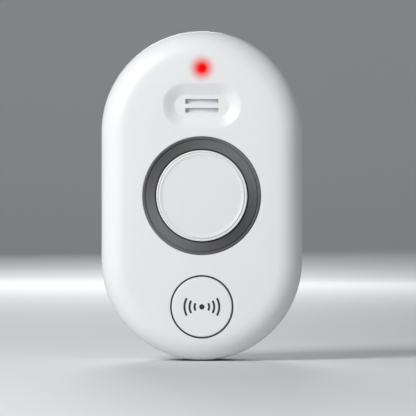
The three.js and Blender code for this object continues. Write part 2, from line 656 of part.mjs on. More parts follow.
// A pan-head screw with a cross recess; its head faces +Y.
function screw(x, z, seat, tip, headR, headTall, shankR) {
  const body = turned([
    [0, seat + headTall], [headR - 0.4, seat + headTall], [headR, seat + headTall - 0.5], [headR, seat],
    [shankR, seat], [shankR, tip + 1], [0, tip],
  ], x, z, SMALL);
  const arm = headR * 0.6;
  const half = 0.3;
  const slotFloor = seat + headTall * 0.45;
  const above = seat + headTall + PAST;
  return cut(body,
    block([x - arm, slotFloor, z - half], [x + arm, above, z + half]),
    block([x - half, slotFloor, z - arm], [x + half, above, z + arm]));
}

// ---------------------------------------------------------------- assembly

const look = (color, roughness, metalness = 0) =>
  new THREE.MeshStandardMaterial({ color, roughness, metalness });

const WHITE = 0xe8e9ea;
const detector = new THREE.Group();
detector.position.z = -PLATE_Z;

function add(name, solid, material) {
  const mesh = new THREE.Mesh(geometryOf(solid), material);
  mesh.name = name;
  detector.add(mesh);
}

add("wall_plate", wallPlate(), look(WHITE, 0.5));
add("rear_case", rearCase(), look(WHITE, 0.45));
add("front_cover", frontCover(), look(WHITE, 0.35));
add("battery_door", batteryDoor(), look(WHITE, 0.45));
add("sounder_ring", sounderRing(), look(0x5a5c5e, 0.35, 0.6));
add("sounder_cap", sounderCap(), look(0xe4e5e6, 0.3));
add("sounder_chamber", sounderChamber(), look(0x202224, 0.6));
add("piezo_disc", piezoDisc(), look(0xb99a4e, 0.3, 1));
add("piezo_ceramic", piezoCeramic(), look(0xd8d4c8, 0.4));
add("piezo_lead_1", piezoLead(-2), look(0xb02020, 0.5));
add("piezo_lead_2", piezoLead(2), look(0x1c1c1e, 0.5));
add("test_button", testButton(), look(WHITE, 0.35));
add("button_ring", buttonRing(), look(0x3a3b3d, 0.5));
add("tact_switch", tactSwitch(), look(0x26282a, 0.5));
add("switch_plunger", switchPlunger(), look(0x17181a, 0.5));
add("led_lens", ledLens(), look(0xf5101a, 0.15));
add("status_led", statusLed(), look(0xff2a20, 0.2));
add("vent_filter", ventFilter(), look(0xc9cbd6, 0.9));
add("sensor_gasket", sensorGasket(), look(0x2b2c2e, 0.9));
add("co_sensor", coSensor(), look(0xb8babd, 0.25, 1));
add("main_board", mainBoard(), look(0x1f6b3c, 0.5));
add("microcontroller", chip(-19, -28, 7, 7, 1), look(0x1a1b1d, 0.5));
add("sensor_amplifier", chip(-16.5, 31, 5, 4, 1.2), look(0x1a1b1d, 0.5));
add("boost_inductor", canOnBoard(19, 27, 4, 4.5), look(0x2f3133, 0.6));
add("reservoir_capacitor", canOnBoard(19.5, -27.5, 4, 6.5), look(0x9fa3a8, 0.3, 0.8));
add("cell_upper", cell(1), look(0x2e6f8e, 0.35));
add("cell_lower", cell(-1), look(0x2e6f8e, 0.35));
add("cell_link", cellLink(), look(0xc4c6c8, 0.3, 1));
add("plate_contact", plateContact(), look(0xc4c6c8, 0.3, 1));
add("spring_contact", springContact(), look(0xc4c6c8, 0.3, 1));
CASE_SCREWS.forEach(([x, z], k) => add(`case_screw_${k + 1}`,
  screw(x, z, CASE_SEAT_Y + GAP, CASE_SCREW_END, CASE_HEAD_R, CASE_HEAD_TALL, CASE_SHANK_R),
  look(0x9a9da0, 0.35, 1)));
BOARD_SCREWS.forEach(([x, z], k) => add(`board_screw_${k + 1}`,
  screw(x, z, BOARD_BACK + GAP, BOARD_SCREW_END, BOARD_HEAD_R, BOARD_HEAD_TALL, BOARD_SHANK_R),
  look(0x9a9da0, 0.35, 1)));

export default detector;
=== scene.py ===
"""Looks for a wall-hung carbon monoxide detector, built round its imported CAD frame."""
from collections import namedtuple
from math import cos, dist, pi, radians, sin

import bmesh
import bpy
from mathutils import Matrix, Vector


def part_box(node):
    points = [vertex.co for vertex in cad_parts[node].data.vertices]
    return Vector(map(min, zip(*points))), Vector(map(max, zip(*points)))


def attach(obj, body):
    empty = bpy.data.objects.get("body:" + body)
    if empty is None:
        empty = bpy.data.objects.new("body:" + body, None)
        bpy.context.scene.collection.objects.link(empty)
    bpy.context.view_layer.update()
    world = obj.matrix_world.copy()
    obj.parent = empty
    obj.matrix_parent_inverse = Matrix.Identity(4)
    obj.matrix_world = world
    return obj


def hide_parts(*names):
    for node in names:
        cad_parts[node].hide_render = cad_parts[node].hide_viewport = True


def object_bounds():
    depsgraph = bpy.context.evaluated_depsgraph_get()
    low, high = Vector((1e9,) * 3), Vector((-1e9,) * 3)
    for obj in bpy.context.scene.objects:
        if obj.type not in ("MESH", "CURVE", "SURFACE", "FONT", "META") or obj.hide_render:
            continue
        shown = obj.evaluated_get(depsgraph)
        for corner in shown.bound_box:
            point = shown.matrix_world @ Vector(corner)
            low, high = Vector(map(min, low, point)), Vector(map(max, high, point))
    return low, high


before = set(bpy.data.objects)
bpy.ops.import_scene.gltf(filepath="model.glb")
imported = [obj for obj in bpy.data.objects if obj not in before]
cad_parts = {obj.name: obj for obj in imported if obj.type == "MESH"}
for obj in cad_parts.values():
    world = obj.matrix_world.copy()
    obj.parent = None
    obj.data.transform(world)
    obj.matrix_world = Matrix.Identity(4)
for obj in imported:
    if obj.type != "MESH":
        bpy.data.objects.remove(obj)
CAD_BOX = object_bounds()

# ---- sizes, in millimetres

MM = 0.001               # one millimetre in metres, which meshes and materials use
Corner = namedtuple("Corner", "x y z")


def in_mm(corners):
    return [Corner(*(value / MM for value in corner)) for corner in corners]


def box(node):
    """(lowest corner, highest corner) of a CAD node at rest."""
    return in_mm(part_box(node))


LOW, HIGH = in_mm(CAD_BOX)
MID_Z = (LOW.z + HIGH.z) / 2
HALF_W = HIGH.x
HALF_H = (HIGH.z - LOW.z) / 2
BUTTON_LOW, BUTTON_HIGH = box("test_button")
FACE_Y = BUTTON_LOW.y
COVER_EDGE = box("front_cover")[1].y
BACK_Y = box("rear_case")[1].y
PLATE_LOW, PLATE_HIGH = box("wall_plate")
DOOR_LOW, DOOR_HIGH = box("battery_door")
RING_R = box("sounder_ring")[1].x
CAP_R = box("sounder_cap")[1].x
CAP_Y = box("sounder_cap")[0].y
BUTTON_Z = (BUTTON_LOW.z + BUTTON_HIGH.z) / 2
BUTTON_R = 10.75
BUTTON_TRIM_R = box("button_ring")[1].x
LENS_LOW, LENS_HIGH = box("led_lens")
LED_Z = (LENS_LOW.z + LENS_HIGH.z) / 2
LED_R = 1.5
FILTER_LOW, FILTER_HIGH = box("vent_filter")
VENT_Z = (FILTER_LOW.z + FILTER_HIGH.z) / 2

SIDE_WALL = 2.2
FACE_WALL = 2.5
BACK_WALL = 2.8
SEAM = 0.3
BACK_ROUND = 3
CASE_EDGE = COVER_EDGE + SEAM
EDGE_INSET = 9           # width of the rounded edge round the face
EDGE_RISE = 8.5          # how far back it goes
CROWN_INSET = 17         # where the face first starts to fall away
CROWN_DROP = 0.6
VENT_HALF = (14.05, 8.15)
VENT_SLOPE = 4.4
VENT_DEPTH = 1.6
SLOT_HALF = (5.9, 0.825)
SLOT_PITCH = 3.2

TRIM_WIDTH = 0.46        # dark line round the button
PAINTED_GLOW_INNER = 0.75        # painted red glow of the indicator, fading out between these radii
PAINTED_GLOW_OUTER = 5.6

SOUND_HOLE_R = 18.6
FLANGE_ROOM_R = 12.4     # room behind the cover for the button's flange
LIFT = 5                 # travel that frees the wall plate's hooks
PLATE_THICK = 3
POCKET_WALL = 1.8
POCKET_Y = -PLATE_THICK - SEAM
HOOK_X = 13
HOOK_HALF = 4
HOOK_NECK = 3
HOOK_BOTTOMS = (MID_Z + 12, MID_Z + 33)
FIT = 0.4                # room round the plate, the door and the hooks
POCKET_LOW = PLATE_LOW.z - LIFT - FIT
POCKET_HIGH = PLATE_HIGH.z + FIT
POCKET_HALF = (PLATE_HIGH.x + FIT, (POCKET_HIGH - POCKET_LOW) / 2)
POCKET_Z = (POCKET_LOW + POCKET_HIGH) / 2
CELL_LOW, CELL_HIGH = box("cell_upper")
CELL_R = (CELL_HIGH.z - CELL_LOW.z) / 2
CELL_HALF = CELL_HIGH.x
CELL_Y = (CELL_LOW.y + CELL_HIGH.y) / 2
UPPER_Z = (CELL_LOW.z + CELL_HIGH.z) / 2
LOWER_Z = (box("cell_lower")[0].z + box("cell_lower")[1].z) / 2
BAY_Z = (UPPER_Z + LOWER_Z) / 2
BAY_HALF = (28.6, 16.2)
BAY_FRONT = -19.1
BAY_BACK = -4.3
BAY_WALL = 1.2
CONTACT_X = 28
DOOR_HALF = (27, 17.2)
DOOR_THICK = 2.4
DOOR_HEAD = DOOR_HIGH.z
HINGE = (BACK_Y - DOOR_THICK / 2, DOOR_LOW.z + DOOR_THICK / 2)
PIN_R = 0.7
SCREW_PLACES = [(x * 15, MID_Z + z * 49.5) for x in (-1, 1) for z in (1, -1)]
SCREW_SEAT = -7
BOARD_LOW, BOARD_HIGH = box("main_board")
BOARD_SCREW_PLACES = [(x * 25.5, MID_Z + z * 14) for x in (-1, 1) for z in (1, -1)]
PIEZO_Y = -26
CHAMBER_R = box("sounder_chamber")[1].x
CHAMBER_FACE = -31.2
INNER_FACE = FACE_Y + FACE_WALL

ROUND = 128              # points round a turned piece
PLANE = 20               # square millimetres: faces larger than this stay flat on the cut pieces


# ---- mesh helpers

def new_object(name, mesh):
    obj = bpy.data.objects.new(name, mesh)
    bpy.context.scene.collection.objects.link(obj)
    return obj


def vert(bm, point):
    """Adds a point given in millimetres."""
    return bm.verts.new([value * MM for value in point])


def object_from_bmesh(name, bm):
    bmesh.ops.recalc_face_normals(bm, faces=bm.faces)
    mesh = bpy.data.meshes.new(name)
    bm.to_mesh(mesh)
    bm.free()
    return new_object(name, mesh)


def prism(bm, near, far):
    """Adds the closed solid between two outlines of equally many points."""
    near, far = [vert(bm, p) for p in near], [vert(bm, p) for p in far]
    bm.faces.new(near)
    bm.faces.new(far[::-1])
    for i in range(len(near)):
        j = (i + 1) % len(near)
        bm.faces.new((near[i], far[i], far[j], near[j]))


def flat_solid(bm, outline, y_low, y_high):
    """Adds an outline with thickness along Y."""
    prism(bm, *([(x, y, z) for x, z in outline] for y in (y_low, y_high)))


def loft(name, rings):
    """A closed solid through rings of equally many points, capped at both ends."""
    bm = bmesh.new()
    loops = [[vert(bm, p) for p in ring] for ring in rings]
    for a, b in zip(loops, loops[1:]):
        for i in range(len(a)):
            j = (i + 1) % len(a)
            bm.faces.new((a[i], a[j], b[j], b[i]))
    bm.faces.new(loops[0])
    bm.faces.new(loops[-1])
    return object_from_bmesh(name, bm)


def turned(name, profile, x=0.0, z=0.0, count=ROUND):
    """A piece turned about a Y axis from (radius, y) points, closed at the axis or on themselves."""
    bm = bmesh.new()
    closed = profile[0] == profile[-1]
    points = profile[:-1] if closed else profile
    loops = []
    for radius, y in points:
        if radius < 1e-9:
            loops.append([vert(bm, (x, y, z))])
            continue
        turn = [2 * pi * k / count for k in range(count)]
        loops.append([vert(bm, (x + radius * cos(t), y, z + radius * sin(t))) for t in turn])
    pairs = list(zip(loops, loops[1:])) + ([(loops[-1], loops[0])] if closed else [])
    for a, b in pairs:
        for i in range(count):
            j = (i + 1) % count
            corners = [a[i % len(a)], a[j % len(a)], b[j % len(b)], b[i % len(b)]]
            bm.faces.new(list(dict.fromkeys(corners)))
    return object_from_bmesh(name, bm)


def rod(name, radius, start, end, x=0.0, z=0.0, count=48):
    """A plain round piece along Y, mostly to cut a hole."""
    return turned(name, [(0, start), (radius, start), (radius, end), (0, end)], x, z, count)


def rounded_ring(half_w, half_h, radius, y, x=0.0, z=0.0, arc=24, straight=8):
    """Points round a rectangle with round corners, in the plane at depth y."""
    radius = min(radius, half_w, half_h)
    dx, dz = half_w - radius, half_h - radius
    corners = [(dx, -dz), (dx, dz), (-dx, dz), (-dx, -dz)]
    points = []
    for k, (cx, cz) in enumerate(corners):
        start = pi / 2 * (k - 1)
        bend = [start + pi / 2 * i / arc for i in range(arc + 1)]
        here = [(x + cx + radius * cos(t), y, z + cz + radius * sin(t)) for t in bend]
        nx, nz = corners[(k + 1) % 4]
        end = start + pi / 2
        there = (x + nx + radius * cos(end), y, z + nz + radius * sin(end))
        run = [tuple(Vector(here[-1]).lerp(Vector(there), s / straight)) for s in range(1, straight)]
        points += here + run
    return [p for k, p in enumerate(points) if dist(p, points[k - 1]) > 1e-4]


def housing_ring(inset, y):
    """The housing's round-ended outline, moved in by an inset."""
    half_w = HALF_W - inset
    return rounded_ring(half_w, HALF_H - inset, half_w, y, 0, MID_Z, arc=32, straight=12)


def rounded_edge(radius, steps=5, reach=90):
    """(inset, drop) points round an edge, from the wall out onto the face that it meets."""
    turns = [radians(reach) * k / steps for k in range(steps + 1)]
    return [(radius * (1 - cos(turn)), radius * (1 - sin(turn))) for turn in turns]


def fillet(radius, edge_y, bend):
    """(radius, y) points of a hole's rounded rim in the face."""
    return [(radius + inset, edge_y + drop) for inset, drop in rounded_edge(bend, 5, 78)]


def grown(half, by):
    return half[0] + by, half[1] + by


def panel(name, half, radius, edge, x=0.0, z=0.0, arc=8, follow=0):
    """A flat piece with round corners. Its edge is (inset, y) points, which the corners can follow."""
    return loft(name, [
        rounded_ring(*grown(half, -inset), radius - follow * inset, y, x, z, arc, 3)
        for inset, y in edge])


def slab(name, half, radius, y_low, y_high, x=0.0, z=0.0, arc=8):
    """A flat piece with round corners, square across Y."""
    return panel(name, half, radius, [(0, y_low), (0, y_high)], x, z, arc)


def recess(name, half, radius, floor_y, x, z, lip=0.35):
    """A cutter that opens a recess with a rounded mouth in the back face."""
    mouth = [(-grow, BACK_Y - drop) for grow, drop in rounded_edge(lip, 5, 84)]
    return panel(name, half, radius, [(0, floor_y)] + mouth + [(-lip, BACK_Y + 1)], x, z, follow=1)


def turned_x(name, profile, y, z, towards=1, count=64):
    """A piece turned about an X axis from (radius, x) points."""
    piece = turned(name, profile, 0, 0, count)
    place = Matrix.Translation((0, y * MM, z * MM))
    piece.data.transform(place @ Matrix.Rotation(-towards * pi / 2, 4, "Z"))
    return piece


def sweep(name, points, radius, sides=12):
    """A round wire along a list of points."""
    rings = []
    side = Vector((1, 0, 0))
    for k, point in enumerate(points):
        along = (points[min(k + 1, len(points) - 1)] - points[max(k - 1, 0)]).normalized()
        side = (side - along * side.dot(along)).normalized()
        across = along.cross(side)
        turns = [2 * pi * i / sides for i in range(sides)]
        spokes = [side * cos(t) + across * sin(t) for t in turns]
        rings.append([point + radius * spoke for spoke in spokes])
    return loft(name, rings)


def tidy(obj, distance=1e-6):
    """Merges points that lie together, within a distance in metres."""
    bm = bmesh.new()
    bm.from_mesh(obj.data)
    bmesh.ops.remove_doubles(bm, verts=bm.verts, dist=distance)
    bmesh.ops.dissolve_degenerate(bm, edges=bm.edges, dist=distance)
    bmesh.ops.recalc_face_normals(bm, faces=bm.faces)
    bm.to_mesh(obj.data)
    bm.free()
    return obj


def apply_modifiers(obj):
    evaluated = obj.evaluated_get(bpy.context.evaluated_depsgraph_get())
    mesh = bpy.data.meshes.new_from_object(evaluated)
    obj.modifiers.clear()
    obj.data = mesh
    return obj


def split_faces(obj):
    """Splits the faces into triangles, which are always plane."""
    bm = bmesh.new()
    bm.from_mesh(obj.data)
    bmesh.ops.triangulate(bm, faces=bm.faces)
    bm.to_mesh(obj.data)
    bm.free()


def combine(obj, tools, operation="DIFFERENCE"):
    """Cuts the tools from obj, or joins them to it, and removes them."""
    for tool in tools:
        split_faces(obj)
        split_faces(tool)
        step = obj.modifiers.new("combine", "BOOLEAN")
        step.operation = operation
        step.solver = "EXACT"
        step.object = tool
        apply_modifiers(obj)
        bpy.data.objects.remove(tool)
    return tidy(obj)


def soften(obj, width, segments=2, angle=40):
    """Rounds the sharp edges and shades the rest smooth."""
    if width > 0:
        step = obj.modifiers.new("soften", "BEVEL")
        step.width = width * MM
        step.segments = segments
        step.limit_method = "ANGLE"
        step.angle_limit = radians(angle)
        step.use_clamp_overlap = True
        apply_modifiers(obj)
    return smooth(obj, angle)


def smooth(obj, angle=35, flat_over=None):
    """Smooth shading between gentle angles. Faces larger than flat_over are plane, and stay so."""
    mesh = obj.data
    mesh.set_sharp_from_angle(angle=radians(angle))
    for face in mesh.polygons:
        face.use_smooth = flat_over is None or face.area < flat_over * MM * MM
    step = obj.modifiers.new("weighted", "WEIGHTED_NORMAL")
    step.keep_sharp = True
    step.weight = 80
    return obj


# ---- materials

MIX_DARK, MIX_LIGHT = 6, 7        # a mix node's two colours, whose names its other inputs share


def node_material(name):
    material = bpy.data.materials.new(name)
    material.use_nodes = True
    tree = material.node_tree
    return material, tree, tree.nodes["Principled BSDF"]


def put(node, values):
    """Sets a node's inputs by name, or links them where the value is another node's output."""
    for name, value in values.items():
        if isinstance(value, bpy.types.NodeSocket):
            node.id_data.links.new(value, node.inputs[name])
        else:
            node.inputs[name].default_value = value


def object_place(tree):
    return tree.nodes.new("ShaderNodeTexCoord").outputs["Object"]


def grain(tree, scale, detail=4.0, stretch=(1, 1, 1)):
    """Noise fixed to the object, in metres."""
    fit = tree.nodes.new("ShaderNodeMapping")
    put(fit, {"Vector": object_place(tree), "Scale": stretch})
    noise = tree.nodes.new("ShaderNodeTexNoise")
    put(noise, {"Vector": fit.outputs["Vector"], "Scale": scale, "Detail": detail})
    return noise.outputs["Fac"]


def spread(tree, source, low, high):
    """Maps noise onto a range."""
    node = tree.nodes.new("ShaderNodeMapRange")
    put(node, {"Value": source, "From Min": 0.3, "From Max": 0.7, "To Min": low, "To Max": high})
    return node.outputs["Result"]


def tint(tree, source, dark, light):
    node = tree.nodes.new("ShaderNodeMix")
    node.data_type = "RGBA"
    put(node, {"Factor": source, MIX_DARK: (*dark, 1), MIX_LIGHT: (*light, 1)})
    return node.outputs[2]


def bump(tree, shader, source, strength, depth):
    node = tree.nodes.new("ShaderNodeBump")
    put(node, {"Height": source, "Strength": strength, "Distance": depth})
    put(shader, {"Normal": node.outputs["Normal"]})


def surface(name, color, roughness, metallic=0.0, texture=900, depth=0.00002, strength=0.25,
            vary=0.05, stretch=(1, 1, 1), coat=0.0):
    """A general finish: slight colour and roughness variation over a fine bump."""
    material, tree, shader = node_material(name)
    broad = grain(tree, 60, 3)
    fine = grain(tree, texture, 4, stretch)
    dark = [c * (1 - vary) for c in color]
    rough = spread(tree, fine, roughness * 0.9, min(1.0, roughness * 1.12))
    put(shader, {"Base Color": tint(tree, broad, dark, color), "Roughness": rough,
                 "Metallic": metallic, "Coat Weight": coat})
    bump(tree, shader, fine, strength, depth)
    return material


WHITE = (0.83, 0.835, 0.84)
FINISHES = {             # colour, roughness and what differs from a plain finish
    "case_white": (WHITE, 0.38, {"texture": 1500, "vary": 0.012, "strength": 0.12}),
    "cap_white": ((0.8, 0.805, 0.81), 0.3, {"texture": 1500, "vary": 0.012, "strength": 0.1}),
    "button_white": (WHITE, 0.34, {"texture": 1500, "vary": 0.012, "strength": 0.1}),
    "button_trim": ((0.018, 0.019, 0.021), 0.6, {}),
    "sounder_black": ((0.02, 0.021, 0.022), 0.55, {}),
    "piezo_brass": ((0.62, 0.48, 0.2), 0.3, {"metallic": 1.0}),
    "piezo_silver": ((0.66, 0.64, 0.58), 0.45, {}),
    "lead_red": ((0.45, 0.02, 0.02), 0.45, {}),
    "lead_black": ((0.02, 0.02, 0.02), 0.45, {}),
    "switch_black": ((0.02, 0.021, 0.023), 0.5, {}),
    "filter_cloth": ((0.84, 0.85, 0.9), 0.9, {"texture": 2500, "strength": 0.6}),
    "gasket_foam": ((0.03, 0.03, 0.032), 0.95, {"texture": 3000, "strength": 0.8}),
    "sensor_can": ((0.62, 0.63, 0.65), 0.28, {"metallic": 1.0, "stretch": (1, 14, 1)}),
    "board_green": ((0.02, 0.14, 0.06), 0.4, {"vary": 0.2}),
    "chip_black": ((0.015, 0.016, 0.018), 0.5, {}),
    "ferrite": ((0.035, 0.035, 0.038), 0.7, {}),
    "capacitor_can": ((0.55, 0.56, 0.58), 0.3, {"metallic": 0.9}),
    "cell_jacket": ((0.03, 0.13, 0.21), 0.28, {"coat": 0.5, "vary": 0.03, "strength": 0.08}),
    "cell_band": ((0.62, 0.63, 0.64), 0.3, {"coat": 0.5, "vary": 0.02}),
    "contact_nickel": ((0.6, 0.6, 0.58), 0.25, {"metallic": 1.0}),
    "screw_steel": ((0.45, 0.46, 0.47), 0.32, {"metallic": 1.0}),
}
MATERIALS = {name: surface(name, color, roughness, **rest)
             for name, (color, roughness, rest) in FINISHES.items()}


def painted_led_glow(tree):
    """1 at the middle of the indicator, easing to 0 where its red light ends in the plastic: the mask of a
    painted glow.
    """
    away = tree.nodes.new("ShaderNodeVectorMath")
    away.operation = "DISTANCE"
    put(away, {0: object_place(tree), 1: (0, FACE_Y * MM, LED_Z * MM)})
    fade = tree.nodes.new("ShaderNodeMapRange")
    fade.interpolation_type = "SMOOTHSTEP"
    put(fade, {"Value": away.outputs["Value"], "From Min": PAINTED_GLOW_INNER * MM,
               "From Max": PAINTED_GLOW_OUTER * MM, "To Min": 1, "To Max": 0})
    return fade.outputs["Result"]


def lit_plastic(name, color, edge_color, glow):
    """Red plastic that is lit from behind; its colour is paler away from the middle of the indicator, a
    painted falloff of the indicator's light.
    """
    material, tree, shader = node_material(name)
    # painted glow: colour runs from edge_color at the rim to color at the middle of the indicator
    put(shader, {"Base Color": tint(tree, painted_led_glow(tree), edge_color, color), "Roughness": 0.5,
                 "Specular IOR Level": 0.05, "Emission Color": (1.0, 0.0, 0.002, 1),
                 "Emission Strength": glow})
    bump(tree, shader, grain(tree, 1200), 0.05, 0.00001)
    return material


def maths(tree, operation, a, b=None):
    node = tree.nodes.new("ShaderNodeMath")
    node.operation = operation
    put(node, {k: value for k, value in enumerate((a, b)) if value is not None})
    return node.outputs[0]


def spun_ring_with_painted_sheen(name, dark, light):
    """Dark turned ring: fine circular lines, and a painted two-lobed sheen: the base colour is lighter in
    two opposite quarters, a painted highlight.
    """
    material, tree, shader = node_material(name)
    split = tree.nodes.new("ShaderNodeSeparateXYZ")
    put(split, {"Vector": object_place(tree)})
    x = split.outputs["X"]
    z = maths(tree, "SUBTRACT", split.outputs["Z"], MID_Z * MM)
    square = maths(tree, "ADD", maths(tree, "MULTIPLY", x, x), maths(tree, "MULTIPLY", z, z))
    # painted sheen: lighter where x and z share a sign, darker where they differ
    painted_sheen_lobes = maths(tree, "DIVIDE", maths(tree, "MULTIPLY", x, z), square)
    lines = tree.nodes.new("ShaderNodeTexNoise")
    lines.noise_dimensions = "1D"
    put(lines, {"W": maths(tree, "SQRT", square), "Scale": 9000, "Detail": 2})
    fine = maths(tree, "MULTIPLY", lines.outputs["Fac"], 0.08)
    # painted sheen lobes plus the fine turned lines, which set the ring's base colour
    painted_sheen_and_lines = maths(tree, "ADD", maths(tree, "ADD", painted_sheen_lobes, 0.5), fine)
    put(shader, {"Base Color": tint(tree, painted_sheen_and_lines, dark, light), "Metallic": 0.25,
                 "Roughness": spread(tree, lines.outputs["Fac"], 0.42, 0.5)})
    bump(tree, shader, lines.outputs["Fac"], 0.15, 0.00001)
    return material


def cover_with_painted_glow(name):
    """The white cover, with the indicator's red light painted round it: red base colour and red emission,
    fading away from the indicator.
    """
    material, tree, shader = node_material(name)
    fine = grain(tree, 1500)
    white = tint(tree, grain(tree, 60, 3), [c * 0.988 for c in WHITE], WHITE)
    glow = painted_led_glow(tree)
    # painted glow: the base colour turns red round the indicator
    colour = tint(tree, glow, WHITE, (0.84, 0.0, 0.004))
    put(colour.node, {MIX_DARK: white})
    # painted glow: red emission from the cover round the indicator, though the cover is no lamp
    put(shader, {"Base Color": colour, "Roughness": spread(tree, fine, 0.34, 0.42),
                 "Emission Color": tint(tree, glow, (0, 0, 0), (0.1, 0, 0)), "Emission Strength": 1})
    bump(tree, shader, fine, 0.12, 0.00002)
    return material


MATERIALS["dark_ring"] = spun_ring_with_painted_sheen("dark_ring", (0.065, 0.065, 0.067), (0.16, 0.161, 0.164))
# the lens and LED colours carry the painted glow falloff
MATERIALS["lens_red"] = lit_plastic("lens_red", (0.3, 0.0, 0.001), (0.3, WHITE[1], WHITE[2]), 0.63)
MATERIALS["led_red"] = lit_plastic("led_red", (0.5, 0.01, 0.01), (0.4, 0.005, 0.005), 0.6)
COVER_PAINTED_GLOW_MATERIAL = cover_with_painted_glow("cover_white")


def give(obj, slot, *nodes, body="housing"):
    """Sets a piece's finish, the body it rides on and the CAD nodes that it stands for."""
    obj.data.materials.clear()
    obj.data.materials.append(MATERIALS[slot])
    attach(obj, body)
    if nodes:
        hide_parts(*nodes)
    return obj


# ---- front cover

def edge_profile(steps=26):
    """(inset, y) down the face's soft edge, from the flat middle to the side wall."""
    power = 2.15
    points = []
    for k in range(6):
        points.append((CROWN_INSET - (CROWN_INSET - EDGE_INSET) * k / 6, 0.0))
    for k in range(steps + 1):
        turn = pi / 2 * k / steps
        across = sin(turn) ** (2 / power)
        fall = 1 - max(cos(turn), 0.0) ** (2 / power)
        points.append((EDGE_INSET * (1 - across), EDGE_RISE * fall))
    crowned = []
    for inset, fall in points:
        share = (CROWN_INSET - inset) / CROWN_INSET
        crowned.append((inset, FACE_Y + fall + CROWN_DROP * share ** 2))
    return crowned


def cover_shell():
    outer = edge_profile()
    side = [(0, COVER_EDGE - 6), (0, COVER_EDGE - 0.35), (0.1, COVER_EDGE - 0.1),
            (0.35, COVER_EDGE)]
    inner = [(inset * 0.9 + SIDE_WALL, y + FACE_WALL - (inset / CROWN_INSET) * 0.2)
             for inset, y in outer[4::3]]
    inner.reverse()
    path = outer + side + [(SIDE_WALL, COVER_EDGE)] + inner
    return loft("front_cover_shell", [housing_ring(inset, y) for inset, y in path])


def vent_dish():
    """The sloping recess round the slots: steep scooped ends and a flat racetrack floor."""
    levels = [(-0.6, FACE_Y - 1), (-0.6, FACE_Y - 0.12)]
    steps = 14
    for k in range(steps + 1):
        share = k / steps
        ease = 0.7 * share + 0.3 * share * share * (3 - 2 * share)
        levels.append((VENT_SLOPE * share, FACE_Y + VENT_DEPTH * ease))
    half_w, half_h = VENT_HALF
    rings = [rounded_ring(half_w - inset, half_h - inset, half_w, y, 0, VENT_Z) for inset, y in levels]
    return loft("vent_dish", rings)


def front_cover():
    cover = cover_shell()
    far = FACE_Y + FACE_WALL + 2
    above = FACE_Y - 1
    seat_y = FACE_Y + 1.6
    flange_y = INNER_FACE + 0.1
    ring_seat = RING_R + 0.06
    ring_rim = fillet(ring_seat, FACE_Y, 0.3)
    button_seat = BUTTON_TRIM_R + 0.02
    button_rim = fillet(button_seat, FACE_Y, 0.12)
    cutters = [
        vent_dish(),
        turned("seat", [(0, seat_y), (ring_seat, seat_y)] + ring_rim
               + [(RING_R + 2, FACE_Y - 0.2), (RING_R + 2, above), (0, above)], 0, MID_Z),
        rod("sound_hole", SOUND_HOLE_R, far, above, 0, MID_Z, ROUND),
        turned("button_seat", [(0, FACE_Y + 1.9), (button_seat, FACE_Y + 1.9)] + button_rim
               + [(BUTTON_TRIM_R + 1, FACE_Y - 0.2), (BUTTON_TRIM_R + 1, above), (0, above)],
               0, BUTTON_Z),
        rod("button_hole", BUTTON_R + 0.2, far, above, 0, BUTTON_Z, ROUND),
        rod("flange_room", FLANGE_ROOM_R, far, flange_y, 0, BUTTON_Z, ROUND),
        rod("led_hole", LED_R + 0.1, far, above, 0, LED_Z),
    ]
    for side in (1, -1):
        z = VENT_Z + side * SLOT_PITCH / 2
        rings = [rounded_ring(*SLOT_HALF, 0.2, y, 0, z, arc=4, straight=2) for y in (above, far)]
        cutters.append(loft("slot", rings))
    combine(cover, cutters)
    cover.name = "front_cover_skin"
    give(smooth(cover, 32), "case_white", "front_cover")
    # the cover's material paints the indicator's red glow round it
    cover.data.materials[0] = COVER_PAINTED_GLOW_MATERIAL
    return cover


# ---- face trim

def sounder_ring():
    """Dark spun ring: raised lip, fine groove and a shallow dished band."""
    back = box("sounder_ring")[1].y
    outer, inner = RING_R, CAP_R + 0.3
    profile = [
        (inner, back), (outer, back), (outer, FACE_Y + 0.15), (outer - 0.08, FACE_Y - 0.02),
        (outer - 0.25, FACE_Y - 0.09), (outer - 0.6, FACE_Y - 0.09),
        (outer - 0.8, FACE_Y), (outer - 0.86, FACE_Y + 0.3), (outer - 1.2, FACE_Y + 0.3),
        (outer - 1.28, FACE_Y), (outer - 1.5, FACE_Y - 0.06),
        (outer - 2.6, FACE_Y - 0.02), (inner + 0.6, FACE_Y - 0.22),
        (inner + 0.25, FACE_Y - 0.2), (inner, FACE_Y + 0.1), (inner, back),
    ]
    ring = turned("sounder_ring_spun", profile, 0, MID_Z, 192)
    return give(smooth(ring, 40), "dark_ring", "sounder_ring")


def sounder_cap():
    """White cap with a rounded lip, a fine step and three legs behind it."""
    under = FACE_Y + 0.7
    top = CAP_Y + 0.3
    lip = []
    for k in range(9):
        turn = radians(170) * k / 8
        lip.append((CAP_R - 0.4 + 0.4 * cos(turn), CAP_Y + 0.45 - 0.35 * sin(turn)))
    bead = [(CAP_R - 0.86, CAP_Y + 0.42), (CAP_R - 1.0, CAP_Y + 0.12),
            (CAP_R - 1.2, CAP_Y + 0.01), (CAP_R - 1.4, CAP_Y + 0.02),
            (CAP_R - 1.7, CAP_Y + 0.14), (CAP_R - 2.0, CAP_Y + 0.22)]
    profile = ([(0, under), (CAP_R - 0.4, under), (CAP_R, under - 0.4)] + lip + bead
               + [(CAP_R - 2.5, top - 0.05), (CAP_R - 4, top - 0.06), (0, top - 0.08)])
    cap = turned("sounder_cap_disc", profile, 0, MID_Z, 192)
    for k in range(3):
        turn = pi / 2 + 2 * pi * k / 3
        leg = turned("leg", [(0, -31.5), (1.1, -31.5), (1.3, -31.8),
                             (1.3, under - 0.5), (0, under - 0.5)],
                     12 * cos(turn), MID_Z + 12 * sin(turn), 24)
        combine(cap, [leg], "UNION")
    return give(smooth(cap, 40), "cap_white", "sounder_cap")


